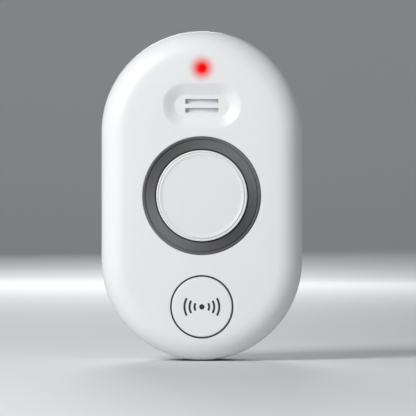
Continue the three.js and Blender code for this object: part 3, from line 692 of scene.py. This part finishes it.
def test_button():
    high = BUTTON_HIGH
    flange_y = INNER_FACE + SEAM
    profile = [(0, FACE_Y + 0.02), (BUTTON_R - 1.2, FACE_Y + 0.01)]
    profile += [(BUTTON_R - inset, FACE_Y + drop) for inset, drop in reversed(rounded_edge(0.3))]
    profile += [(BUTTON_R, flange_y), (high.x, flange_y), (high.x, flange_y + 1),
                (2.4, flange_y + 1), (2.4, high.y), (0, high.y)]
    button = turned("test_button_disc", profile, 0, BUTTON_Z, 160)
    return give(smooth(button, 40), "button_white", "test_button", body="button")


def button_trim():
    low, high = box("button_ring")
    outer = BUTTON_TRIM_R
    inner = outer - TRIM_WIDTH
    profile = [(inner, high.y), (outer, high.y), (outer, low.y + 0.1), (outer - 0.1, low.y),
               (inner + 0.1, low.y), (inner, low.y + 0.1), (inner, high.y)]
    trim = turned("button_trim", profile, 0, BUTTON_Z, 160)
    return give(smooth(trim, 40), "button_trim", "button_ring")


# ---- button symbol

SYMBOL_STROKE = 0.74
SYMBOL_DOT = 0.95
SYMBOL_ARCS = (2.6, 4.4, 6.2)
SYMBOL_SPREAD = radians(30)      # half the angle that each arc spans


def arc_stroke(radius, middle, steps=16):
    """The outline of one curved stroke round the symbol's dot."""
    turns = [middle + SYMBOL_SPREAD * (2 * k / steps - 1) for k in range(steps + 1)]
    far, near = radius + SYMBOL_STROKE / 2, radius - SYMBOL_STROKE / 2
    outer = [(far * cos(t), far * sin(t)) for t in turns]
    inner = [(near * cos(t), near * sin(t)) for t in turns]
    return outer + inner[::-1]


def button_symbol():
    """A generic sounder symbol printed on the button: a dot between two sets of arcs."""
    dot_turns = [2 * pi * k / 32 for k in range(32)]
    outlines = [[(SYMBOL_DOT * cos(t), SYMBOL_DOT * sin(t)) for t in dot_turns]]
    outlines += [arc_stroke(radius, middle) for middle in (0, pi) for radius in SYMBOL_ARCS]
    bm = bmesh.new()
    for outline in outlines:
        placed = [(x, z + BUTTON_Z) for x, z in outline]
        flat_solid(bm, placed, FACE_Y - 0.02, FACE_Y + 0.06)
    symbol = object_from_bmesh("button_symbol", bm)
    return give(symbol, "button_trim", body="button")


# ---- vent filter

def vent_filter():
    """A thin cloth that arches forward behind the middle of the slots."""
    thick, arch = 0.25, 0.5
    half = FILTER_HIGH.x
    rings = []
    for k in range(25):
        x = half * (k / 12 - 1)
        front = FILTER_LOW.y + arch * (1 - cos(pi * x / half)) / 2
        rings.append([(x, front, FILTER_LOW.z), (x, front, FILTER_HIGH.z),
                      (x, front + thick, FILTER_HIGH.z), (x, front + thick, FILTER_LOW.z)])
    return give(smooth(loft("vent_filter_cloth", rings)), "filter_cloth", "vent_filter")


# ---- rear case

def case_shell():
    """The rear half's skin, with its rounded back edge, hollow and open to the front."""
    path = [(0.35, CASE_EDGE), (0.1, CASE_EDGE + 0.1), (0, CASE_EDGE + 0.35)]
    path += [(inset, BACK_Y - drop) for inset, drop in rounded_edge(BACK_ROUND, 12)]
    skin = loft("rear_case_skin", [housing_ring(inset, y) for inset, y in path])
    hollow = [housing_ring(SIDE_WALL, y) for y in (CASE_EDGE - 2, BACK_Y - BACK_WALL)]
    return combine(skin, [loft("hollow", hollow)])


def case_tongue():
    """The thin lip that locates the case inside the cover, notched round the cover's screw bosses."""
    front = -16.5
    outside, inside = SIDE_WALL + SEAM, SIDE_WALL + SEAM + 1.2
    path = [(inside, front), (outside + 0.2, front), (outside, front + 0.3), (outside, CASE_EDGE),
            (SIDE_WALL - 0.4, CASE_EDGE + 0.5), (SIDE_WALL - 0.4, -11), (inside, -11)]
    tongue = loft("tongue", [housing_ring(inset, y) for inset, y in path[1:-1]])
    core = loft("core", [housing_ring(inside, y) for y in (front - 1, -10)])
    foot = CASE_EDGE + 0.2
    gaps = [rod("gap", 3.8, front - 1, foot, x, z) for x, z in SCREW_PLACES]
    return combine(tongue, [core] + gaps)


def bore_cutter(x, z):
    """A screw's counterbore with a rounded mouth, and its clearance hole."""
    lip, wide, shank = 0.4, 3, 1.6
    mouth = [(wide + grow, BACK_Y - drop) for grow, drop in rounded_edge(lip, 5, 84)]
    profile = [(0, -18), (shank, -18), (shank, SCREW_SEAT), (wide, SCREW_SEAT)] + mouth
    return turned("bore", profile + [(wide + lip, BACK_Y + 1), (0, BACK_Y + 1)], x, z, 64)


def case_cutters():
    cutters = [recess("pocket", POCKET_HALF, 0.5, POCKET_Y, 0, POCKET_Z)]
    for low in HOOK_BOTTOMS:
        bottom, top = low - LIFT - FIT, low + HOOK_NECK + SEAM
        half = (HOOK_HALF + FIT, (top - bottom) / 2)
        for x in (-HOOK_X, HOOK_X):
            cutters.append(slab("hook_slot", half, 0.5, POCKET_Y - POCKET_WALL - 1, POCKET_Y + 1,
                                x, (bottom + top) / 2))
    cutters += [
        slab("bay", BAY_HALF, 0.8, BAY_FRONT, BAY_BACK, 0, BAY_Z),
        slab("mouth", grown(DOOR_HALF, -1), 2, BAY_FRONT + 2, 0, 0, BAY_Z),
        recess("doorway", grown(DOOR_HALF, FIT), 0.6, BACK_Y - DOOR_THICK - SEAM, 0, BAY_Z, 0.25),
        recess("thumb_notch", (7, 2.5), 2.5, BACK_Y - 1.2, 0, DOOR_HEAD, 0.4),
    ]
    for z in (UPPER_Z, LOWER_Z):
        cutters.append(slab("tail_slot", (0.6, 1.4), 0.1, BAY_FRONT - 3, BAY_FRONT + 1,
                            CONTACT_X, z, arc=2))
    pin_room, reach = PIN_R + 0.2, 28.6
    profile = [(0, -reach), (pin_room, -reach), (pin_room, reach), (0, reach)]
    cutters.append(turned_x("pin_bore", profile, *HINGE))
    return cutters + [bore_cutter(x, z) for x, z in SCREW_PLACES]


def rear_case():
    """The rear case: skin, pocket for the wall plate, battery bay, screw bosses and tongue."""
    case = case_shell()
    inside = BACK_Y - 1
    boss_face = CASE_EDGE + 0.05
    fittings = [
        slab("pocket_box", grown(POCKET_HALF, POCKET_WALL), 1.5, POCKET_Y - POCKET_WALL, inside,
             0, POCKET_Z),
        slab("bay_box", grown(BAY_HALF, BAY_WALL), 1.5, BAY_FRONT - BAY_WALL, inside, 0, BAY_Z),
        case_tongue(),
    ]
    for x, z in SCREW_PLACES:
        fittings.append(turned("boss", [(0, boss_face), (4.2, boss_face), (4.4, boss_face + 0.2),
                                        (4.4, inside), (0, inside)], x, z, 48))
    combine(case, fittings, "UNION")
    combine(case, case_cutters())
    return give(smooth(case, 32, PLANE), "case_white", "rear_case")


# ---- battery door

def battery_door():
    """The door: rounded outer edge, grip grooves, ribs and a snap tab inside, rolled foot on stub pins."""
    outer, inner = BACK_Y, BACK_Y - DOOR_THICK
    lip = 0.3
    steps = [(0.1, inner), (0, inner + 0.1)]
    steps += [(inset, outer - drop) for inset, drop in rounded_edge(lip)]
    door = panel("battery_door_panel", DOOR_HALF, 0.8, steps, 0, BAY_Z)
    foot_half = (DOOR_HALF[0] + 1, DOOR_THICK)
    foot = slab("foot", foot_half, 0.2, inner - 1, outer + 1, 0, HINGE[1] - DOOR_THICK, arc=2)
    combine(door, [foot])
    roll = DOOR_THICK / 2 - 0.02
    reach, pin = DOOR_HALF[0] - 0.6, DOOR_HALF[0] + 1.3
    knuckle = [(0, -pin), (PIN_R - 0.15, -pin), (PIN_R, -pin + 0.15), (PIN_R, -reach), (roll, -reach)]
    knuckle += [(radius, -x) for radius, x in reversed(knuckle)]
    ribs = [slab("rib", (0.5, 11), 0.4, inner - 0.6, inner + 0.5, x, BAY_Z)
            for x in (-18, -6, 6, 18)]
    tab = slab("tab", (5, 0.5), 0.2, inner - 1.8, inner + 0.5, 0, DOOR_HEAD - 1.9)
    combine(door, [turned_x("knuckle", knuckle, *HINGE)] + ribs + [tab], "UNION")
    grooves = [recess("groove", (8, 0.35), 0.35, outer - 0.5, 0,
                      DOOR_HEAD - (4 + 1.8 * k), 0.15) for k in range(3)]
    combine(door, grooves)
    return give(smooth(door, 32, PLANE), "case_white", "battery_door", body="door")


# ---- cells and contacts

def aa_cell(node, z, towards):
    """A jacketed cell: rolled shoulders, steel ends and a raised end towards +X or -X."""
    half, nub = CELL_HALF, 1.5
    can = half - nub
    flat_end = [(0, -half), (4.6, -half), (4.8, -half + 0.25), (6.0, -half + 0.25),
                (6.4, -half + 0.1), (6.9, -half + 0.25), (CELL_R - 0.06, -half + 0.7)]
    jacket = [(CELL_R, -half + 0.9), (CELL_R, can - 12), (CELL_R, can - 1.0),
              (CELL_R - 0.12, can - 0.55), (6.7, can - 0.1)]
    raised = [(6.2, can), (5.6, can - 0.05), (5.2, can - 0.3), (3.3, can - 0.3),
              (2.75, can), (2.75, half - 0.35), (2.6, half - 0.1),
              (2.3, half), (0, half)]
    piece = turned_x(node + "_jacketed", flat_end + jacket + raised, CELL_Y, z, towards, 72)
    give(smooth(piece, 35), "cell_jacket", node)
    piece.data.materials.append(MATERIALS["contact_nickel"])
    piece.data.materials.append(MATERIALS["cell_band"])
    for face in piece.data.polygons:
        along = face.center.x / MM * towards
        if along < -half + 0.8 or along > can - 0.3:
            face.material_index = 1
        elif along > can - 12:
            face.material_index = 2
    return piece


def contact(node, side, low_z, high_z, coil_z=None, dimple_z=None, tail_z=None):
    """A bent spring-steel contact: plate, and a coil, a dimple and a board tail where it has them."""
    x, thick = side * CONTACT_X, 0.2
    plate = slab(node + "_pressed", (thick, (high_z - low_z) / 2), 0.08, CELL_Y - 4, CELL_Y + 4,
                 x, (low_z + high_z) / 2, arc=2)
    parts = []
    tip = CELL_HALF + SEAM
    if dimple_z is not None:
        profile = [(0, -tip), (0.7, -tip), (1.1, -tip - 0.2), (1.5, -tip - 1),
                   (2.1, -CONTACT_X + 0.5), (2.4, -CONTACT_X), (0, -CONTACT_X)]
        parts.append(turned_x("dimple", profile, CELL_Y, dimple_z, -side, 48))
    if tail_z is not None:
        parts.append(slab("tail", (thick, 1), 0.08, -24.1, CELL_Y, x, tail_z, arc=2))
    if coil_z is not None:
        wire, turns, steps = 0.35, 2.5, 90
        points = []
        for k in range(steps + 1):
            share = k / steps
            radius = 3.2 - 1.4 * share
            turn = turns * 2 * pi * share
            along = CONTACT_X - share * (CONTACT_X - tip - wire)
            points.append(Vector((side * along, CELL_Y + radius * cos(turn), coil_z + radius * sin(turn))))
        parts.append(sweep("coil", points, wire))
    combine(plate, parts, "UNION")
    return give(smooth(plate, 40), "contact_nickel", node)


def contacts():
    reach = 4
    contact("cell_link", -1, LOWER_Z - reach, UPPER_Z + reach, coil_z=UPPER_Z, dimple_z=LOWER_Z)
    contact("plate_contact", 1, UPPER_Z - reach, UPPER_Z + reach, dimple_z=UPPER_Z, tail_z=UPPER_Z)
    contact("spring_contact", 1, LOWER_Z - reach, LOWER_Z + reach, coil_z=LOWER_Z, tail_z=LOWER_Z)


# ---- wall plate and screws

def wall_plate():
    """Flat plate with a soft front edge, four hooks with rounded noses and two countersunk holes."""
    half = (PLATE_HIGH.x, (PLATE_HIGH.z - PLATE_LOW.z) / 2)
    middle = (PLATE_HIGH.z + PLATE_LOW.z) / 2
    edge = [(0.15, 0), (0, -0.15)]
    edge += [(inset, -PLATE_THICK + drop) for inset, drop in rounded_edge(0.5)]
    plate = panel("wall_plate_moulded", half, 3, edge, 0, middle, 12, follow=1)
    end = PLATE_LOW.y
    hooks = []
    for low in HOOK_BOTTOMS:
        for x in (-HOOK_X, HOOK_X):
            neck = (HOOK_HALF, HOOK_NECK / 2)
            hooks.append(slab("neck", neck, 0.3, end + 0.2, -1.5, x, low + HOOK_NECK / 2, arc=4))
            hooks.append(slab("nose", (HOOK_HALF, 3.25), 0.5, end, end + 1.5, x, low + 3.25,
                              arc=4))
    combine(plate, hooks, "UNION")
    holes = []
    for x in (-HOOK_X, HOOK_X):
        profile = [(0, 1), (2.2, 1), (2.2, 0), (1.9, -0.3), (1.9, -1.2),
                   (3.7, -PLATE_THICK), (3.7, -4), (0, -4)]
        holes.append(turned("hole", profile, x, middle, 64))
    combine(plate, holes)
    return give(smooth(plate, 32, PLANE), "case_white", "wall_plate", body="bracket")


def node_centre(low, high):
    """A node's middle, across and up."""
    return (low.x + high.x) / 2, (low.z + high.z) / 2


def screw(node, x, z, seat, tip, head_r, head_tall, shank_r):
    """Pan-head screw with a cross recess, a thread-forming shank and a cone point."""
    dome = [(head_r * cos(turn), seat + head_tall * (0.55 + 0.45 * sin(turn)))
            for turn in [radians(90 - 9 * k) for k in range(11)]]
    profile = [(0, seat + head_tall)] + dome[1:] + [(head_r, seat + 0.1), (head_r - 0.1, seat),
                                                   (shank_r, seat)]
    pitch = shank_r * 0.7
    y = seat - 1
    while y > tip + 2.2 * shank_r:
        profile += [(shank_r * 0.78, y), (shank_r * 0.78, y - pitch * 0.35), (shank_r, y - pitch * 0.6)]
        y -= pitch
    profile += [(shank_r * 0.78, tip + 1.8 * shank_r), (0.12, tip + 0.05), (0, tip)]
    piece = turned(node + "_threaded", profile, x, z, 48)
    arm, half, floor = head_r * 0.6, head_r * 0.13, seat + head_tall * 0.35
    top = seat + head_tall + 1
    combine(piece, [slab("cross", size, 0.05, floor, top, x, z, arc=2)
                    for size in ((arm, half), (half, arm))])
    return give(smooth(piece, 30), "screw_steel", node)


def screws():
    for k in range(4):
        for kind, head_tall, shank_r in (("case", 1.8, 1.3), ("board", 0.9, 0.9)):
            node = f"{kind}_screw_{k + 1}"
            low, high = box(node)
            x, z = node_centre(low, high)
            screw(node, x, z, high.y - head_tall, low.y, high.x - x, head_tall, shank_r)


# ---- inside the housing

def led_lens():
    """Domed red light pipe with a flange behind the cover."""
    back, flange = LENS_HIGH.y, INNER_FACE + 0.5
    dome = [(LED_R * sin(turn), FACE_Y + 0.1 - 0.4 * cos(turn))
            for turn in [pi / 2 * k / 10 for k in range(10, 0, -1)]]
    profile = [(0, back), (LED_R + 0.7, back), (LED_R + 0.7, flange), (LED_R, flange)] + dome
    lens = turned("led_lens_domed", profile + [(0, LENS_LOW.y)], 0, LED_Z, 48)
    return give(smooth(lens, 35), "lens_red", "led_lens")


def status_led():
    low, high = box("status_led")
    dome = [(1.5 * cos(turn), -27.6 - 1.5 * sin(turn))
            for turn in [pi / 2 * k / 8 for k in range(8)]]
    profile = [(0, high.y), (1.9, high.y), (1.9, high.y - 1), (1.5, high.y - 1)]
    led = turned("status_led_domed", profile + dome + [(0, low.y)], 0, LED_Z, 48)
    return give(smooth(led, 35), "led_red", "status_led")


def sounder_chamber():
    """Tube with a pierced, rounded front wall, a shelf for the piezo disc and a notch for its wires."""
    low, high = box("sounder_chamber")
    inner, end, lip = CHAMBER_R - 1.6, high.y, low.y
    hole, shelf = 4.5, 12.5
    profile = [(inner, end), (CHAMBER_R, end), (CHAMBER_R, lip + 0.2), (CHAMBER_R - 0.2, lip),
               (inner + 0.2, lip), (inner, lip + 0.2), (inner, CHAMBER_FACE - 0.3),
               (inner - 0.3, CHAMBER_FACE), (hole + 0.5, CHAMBER_FACE),
               (hole + 0.15, CHAMBER_FACE + 0.15), (hole, CHAMBER_FACE + 0.5),
               (hole, CHAMBER_FACE + 1.4), (inner, CHAMBER_FACE + 1.4), (inner, PIEZO_Y - 1.9),
               (shelf, PIEZO_Y - 1.9), (shelf, PIEZO_Y - 0.6), (inner, PIEZO_Y - 0.6), (inner, end)]
    chamber = turned("sounder_chamber_moulded", profile, 0, MID_Z)
    notch = slab("notch", (2.5, 3), 0.3, PIEZO_Y - 0.2, -20, 0, MID_Z - 17, arc=3)
    combine(chamber, [notch])
    return give(smooth(chamber, 35), "sounder_black", "sounder_chamber")


def piezo():
    """Brass disc with a smaller silvered ceramic behind it."""
    low, high = box("piezo_disc")
    radius = high.x
    disc = turned("piezo_disc_pressed", [(0, low.y), (radius - 0.1, low.y), (radius, low.y + 0.1),
                                         (radius, high.y), (0, high.y)], 0, MID_Z)
    give(smooth(disc, 35), "piezo_brass", "piezo_disc")
    low, high = box("piezo_ceramic")
    radius = high.x
    ceramic = turned("piezo_ceramic_fired", [(0, low.y), (radius, low.y), (radius, high.y - 0.08),
                                             (radius - 0.08, high.y), (0, high.y)], 0, MID_Z)
    give(smooth(ceramic, 35), "piezo_silver", "piezo_ceramic")


def piezo_leads():
    """Two thin insulated wires from the disc to the board."""
    for node, slot, x in (("piezo_lead_1", "lead_red", -2), ("piezo_lead_2", "lead_black", 2)):
        high = box(node)[1]
        start = Vector((x, PIEZO_Y + 1.2, MID_Z - 3))
        middle = Vector((x, PIEZO_Y + 1.5, MID_Z - 7))
        end = Vector((x, high.y - 0.35, MID_Z - 10.9))
        points = []
        for k in range(33):
            t = k / 32
            points.append(start * (1 - t) ** 2 + end * t ** 2
                          + (middle * 2 - (start + end) / 2) * 2 * t * (1 - t))
        give(smooth(sweep(node + "_insulated", points, 0.3, 16), 50), slot, node)


def co_sensor():
    """Rolled metal can with a crimped rim and a gas hole."""
    low, high = box("co_sensor")
    radius, front, back = high.x, low.y, high.y
    profile = [(0, back), (radius - 0.3, back), (radius, back - 0.3), (radius, back - 1.2),
               (radius - 0.25, back - 1.4), (radius - 0.25, front + 1.2),
               (radius - 0.05, front + 0.9), (radius - 0.05, front + 0.4),
               (radius - 0.2, front + 0.1), (radius - 0.5, front), (radius - 1.1, front),
               (radius - 1.3, front + 0.25), (2.2, front + 0.25), (1.4, front + 0.3),
               (1.4, front + 1), (0, front + 1)]
    sensor = turned("co_sensor_can", profile, 0, VENT_Z, 96)
    return give(smooth(sensor, 35), "sensor_can", "co_sensor")


def sensor_gasket():
    """Soft foam ring, slightly bulged between filter and sensor."""
    low, high = box("sensor_gasket")
    outer, inner, middle = high.x, high.x - 2.2, (low.y + high.y) / 2
    half = (high.y - low.y) / 2
    profile = []
    for centre, way in ((outer - 0.3, 0), (inner + 0.3, pi)):
        for k in range(9):
            turn = way - pi / 2 + pi * k / 8
            profile.append((centre + 0.3 * cos(turn), middle + half * sin(turn)))
    gasket = turned("sensor_gasket_foam", profile + [profile[0]], 0, VENT_Z, 96)
    return give(smooth(gasket, 60), "gasket_foam", "sensor_gasket")


def main_board():
    """Glass-fibre board with notches and screw holes."""
    half = (BOARD_HIGH.x, (BOARD_HIGH.z - BOARD_LOW.z) / 2)
    front, back = BOARD_LOW.y, BOARD_HIGH.y
    board = slab("main_board_laminate", half, half[0], front, back, 0, MID_Z, arc=24)
    cutters = []
    for places, radius in ((SCREW_PLACES, 4), (BOARD_SCREW_PLACES, 1.2)):
        cutters += [rod("hole", radius, front - 1, back + 1, x, z) for x, z in places]
    for z in (UPPER_Z, LOWER_Z):
        cutters.append(slab("tail_slot", (0.6, 1.4), 0.1, front - 1, back + 1,
                            CONTACT_X, z, arc=2))
    combine(board, cutters)
    return give(smooth(board, 32, PLANE), "board_green", "main_board")


def chip(node, legs, rows):
    """Moulded package with a bevelled top, a pin-one dimple and gull-wing legs."""
    low, high = box(node)
    x, z = node_centre(low, high)
    pin = 0.7
    half = ((high.x - low.x) / 2 - pin, (high.z - low.z) / 2 - pin)
    steps = [(0, high.y - 0.1), (0, (low.y + high.y) / 2), (0.12, low.y)]
    package = panel(node + "_moulded", half, 0.1, steps, x, z, 3)
    dimple = turned("dimple", [(0, low.y + 0.12), (0.3, low.y + 0.12), (0.4, low.y - 1), (0, low.y - 1)],
                    x - half[0] + 0.9, z + half[1] - 0.9, 32)
    combine(package, [dimple])
    give(smooth(package, 30), "chip_black", node)
    package.data.materials.append(MATERIALS["contact_nickel"])
    pitch, half_wide, knee = 0.8, 0.17, (low.y + high.y) / 2
    foot = high.y - 0.15
    bm = bmesh.new()
    for side in range(rows):
        turn = Matrix.Translation((x, 0, z)) @ Matrix.Rotation(side * 2 * pi / rows, 4, "Y")
        reach = half[0] + pin
        path = [(reach - pin, knee), (reach - pin * 0.55, knee), (reach - pin * 0.4, foot), (reach, foot),
                (reach, high.y), (reach - pin * 0.55, high.y), (reach - pin * 0.75, knee + 0.15),
                (reach - pin, knee + 0.15)]
        for k in range(legs):
            along = (k - (legs - 1) / 2) * pitch
            prism(bm, *([turn @ Vector((px, py, along + way * half_wide)) for px, py in path]
                        for way in (-1, 1)))
    pins = object_from_bmesh(node + "_legs", bm)
    give(pins, "contact_nickel")
    return package


def round_part(node, slot, groove):
    """A wound or rolled component on the board: waisted inductor or grooved capacitor can."""
    low, high = box(node)
    x, z = node_centre(low, high)
    radius = (high.x - low.x) / 2
    front, back = low.y, high.y
    profile = [(0, back), (radius - 0.15, back), (radius, back - 0.15), (radius, back - 0.8)]
    if groove == "waist":
        profile += [(radius - 0.9, back - 1.0), (radius - 0.9, front + 1.0),
                    (radius, front + 0.8)]
    else:
        profile += [(radius - 0.3, back - 1.1), (radius, back - 1.4)]
    profile += [(radius, front + 0.3), (radius - 0.12, front + 0.08), (radius - 0.35, front),
                (radius - 0.8, front), (radius - 0.9, front + 0.1), (0, front + 0.1)]
    return give(smooth(turned(node + "_wound", profile, x, z, 72), 35), slot, node)


def small_passives():
    """Rows of chip resistors and capacitors with tinned ends, beside the larger board parts."""
    places = [(-24, 4), (-24, 1), (-24, -2), (-24, -5), (24, 6), (24, 3), (24, -4), (24, -7), (-9, 29),
              (-9, 26), (9.5, 24), (9.5, 21), (-9, -26), (-9, -29), (9, -26), (9, -30), (-12, 38), (12, 38)]
    front = BOARD_LOW.y
    bodies, ends = bmesh.new(), bmesh.new()
    for x, z in places:
        for bm, low, high, tall in ((bodies, -0.55, 0.55, 0.5), (ends, -0.8, -0.55, 0.52),
                                    (ends, 0.55, 0.8, 0.52)):
            outline = [(x + px, MID_Z + z + pz)
                       for px, pz in ((low, -0.4), (high, -0.4), (high, 0.4), (low, 0.4))]
            flat_solid(bm, outline, front - 0.05 - tall, front - 0.05)
    give(soften(object_from_bmesh("small_parts", bodies), 0.05), "chip_black")
    give(soften(object_from_bmesh("small_part_ends", ends), 0.05), "contact_nickel")


def tact_switch():
    """Square switch body with a raised round collar, and its plunger."""
    low, high = box("tact_switch")
    half = high.x
    collar = low.y
    top = collar + 0.5
    edge = [(0, high.y), (0, top + 0.1), (0.1, top)]
    body = panel("tact_switch_moulded", (half, half), 0.3, edge, 0, BUTTON_Z, 4)
    ring = turned("collar", [(0, top + 0.5), (2.6, top + 0.5), (2.6, collar + 0.1),
                             (2.5, collar), (0, collar)], 0, BUTTON_Z, 64)
    combine(body, [ring], "UNION")
    combine(body, [rod("bore", 1.9, collar - 1, -24.7, 0, BUTTON_Z, 64)])
    give(smooth(body, 32), "switch_black", "tact_switch")
    low, high = box("switch_plunger")
    radius = high.x
    plunger = turned("switch_plunger_moulded", [(0, high.y), (radius, high.y), (radius, low.y + 0.2),
                                                (radius - 0.2, low.y), (0, low.y)], 0, BUTTON_Z, 64)
    give(smooth(plunger, 35), "switch_black", "switch_plunger", body="plunger")


# ---- assembly

def build():
    front_cover()
    sounder_ring()
    sounder_cap()
    test_button()
    button_trim()
    button_symbol()
    vent_filter()
    rear_case()
    battery_door()
    wall_plate()
    screws()
    aa_cell("cell_upper", UPPER_Z, 1)
    aa_cell("cell_lower", LOWER_Z, -1)
    contacts()
    led_lens()
    status_led()
    sounder_chamber()
    piezo()
    piezo_leads()
    co_sensor()
    sensor_gasket()
    main_board()
    chip("microcontroller", 6, 4)
    chip("sensor_amplifier", 4, 2)
    round_part("boost_inductor", "ferrite", "waist")
    round_part("reservoir_capacitor", "capacitor_can", "groove")
    small_passives()
    tact_switch()


build()


# ---- stage

def plain_material(name, color, roughness):
    material, tree, shader = node_material(name)
    dull = [c * 0.985 for c in color]
    put(shader, {"Base Color": tint(tree, grain(tree, 3), dull, color), "Roughness": roughness})
    return material


def stage():
    """A pale floor that curves up into a far backdrop."""
    floor_z = LOW.z - 0.2
    radius, depth, half = 1000, 2600, 3400
    path = [(-half, 0), (depth - radius, 0)]
    for k in range(1, 25):
        turn = pi / 2 * k / 24
        path.append((depth - radius + radius * sin(turn), radius * (1 - cos(turn))))
    path.append((depth, 3000))
    bm = bmesh.new()
    rows = [[vert(bm, (x, y, floor_z + rise)) for y, rise in path] for x in (-half, half)]
    for k in range(len(path) - 1):
        bm.faces.new((rows[0][k], rows[1][k], rows[1][k + 1], rows[0][k + 1]))
    floor = object_from_bmesh("floor", bm)
    floor.data.materials.append(plain_material("floor_pale", (0.72, 0.73, 0.74), 0.75))
    floor.data.polygons.foreach_set("use_smooth", [True] * len(floor.data.polygons))


def area_light(name, place, target, size, power, color=(1, 1, 1)):
    data = bpy.data.lights.new(name, "AREA")
    data.shape = "RECTANGLE"
    data.size, data.size_y = size
    data.energy = power
    data.color = color
    light = new_object(name, data)
    light.location = place
    light.rotation_euler = (Vector(target) - Vector(place)).to_track_quat("-Z", "Y").to_euler()
    return light


def lights():
    world = bpy.data.worlds.new("studio")
    bpy.context.scene.world = world
    world.use_nodes = True
    put(world.node_tree.nodes["Background"], {"Color": (0.95, 0.965, 0.99, 1), "Strength": 0.235})
    aim = Vector((0, -0.02, MID_Z * MM))
    key = aim + Vector((-0.57, -0.62, 0.47)) * 1.2
    area_light("key", key, aim, (0.5, 0.5), 10.8)
    area_light("front_fill", aim + Vector((-0.2, -1.6, 0.3)), aim, (0.8, 0.8), 1.4)
    area_light("back_fill", aim + Vector((-0.1, 1.7, 0.42)), aim, (0.4, 0.4), 6)


def camera():
    """Straight on, with a long lens, framed as wide as the reference view."""
    view_width = 0.1493
    distance = 1.5
    data = bpy.data.cameras.new("camera")
    data.sensor_width = 36
    data.lens = 36 * distance / view_width
    data.clip_start, data.clip_end = 0.05, 20
    cam = new_object("camera", data)
    rim_y = (FACE_Y + EDGE_RISE) * MM
    cam.location = (0.0022, rim_y - distance, MID_Z * MM - 0.00437)
    cam.rotation_euler = (pi / 2, 0, 0)
    bpy.context.scene.camera = cam
    bpy.context.scene.view_settings.view_transform = "Standard"


stage()
lights()
camera()

bpy.context.view_layer.update()
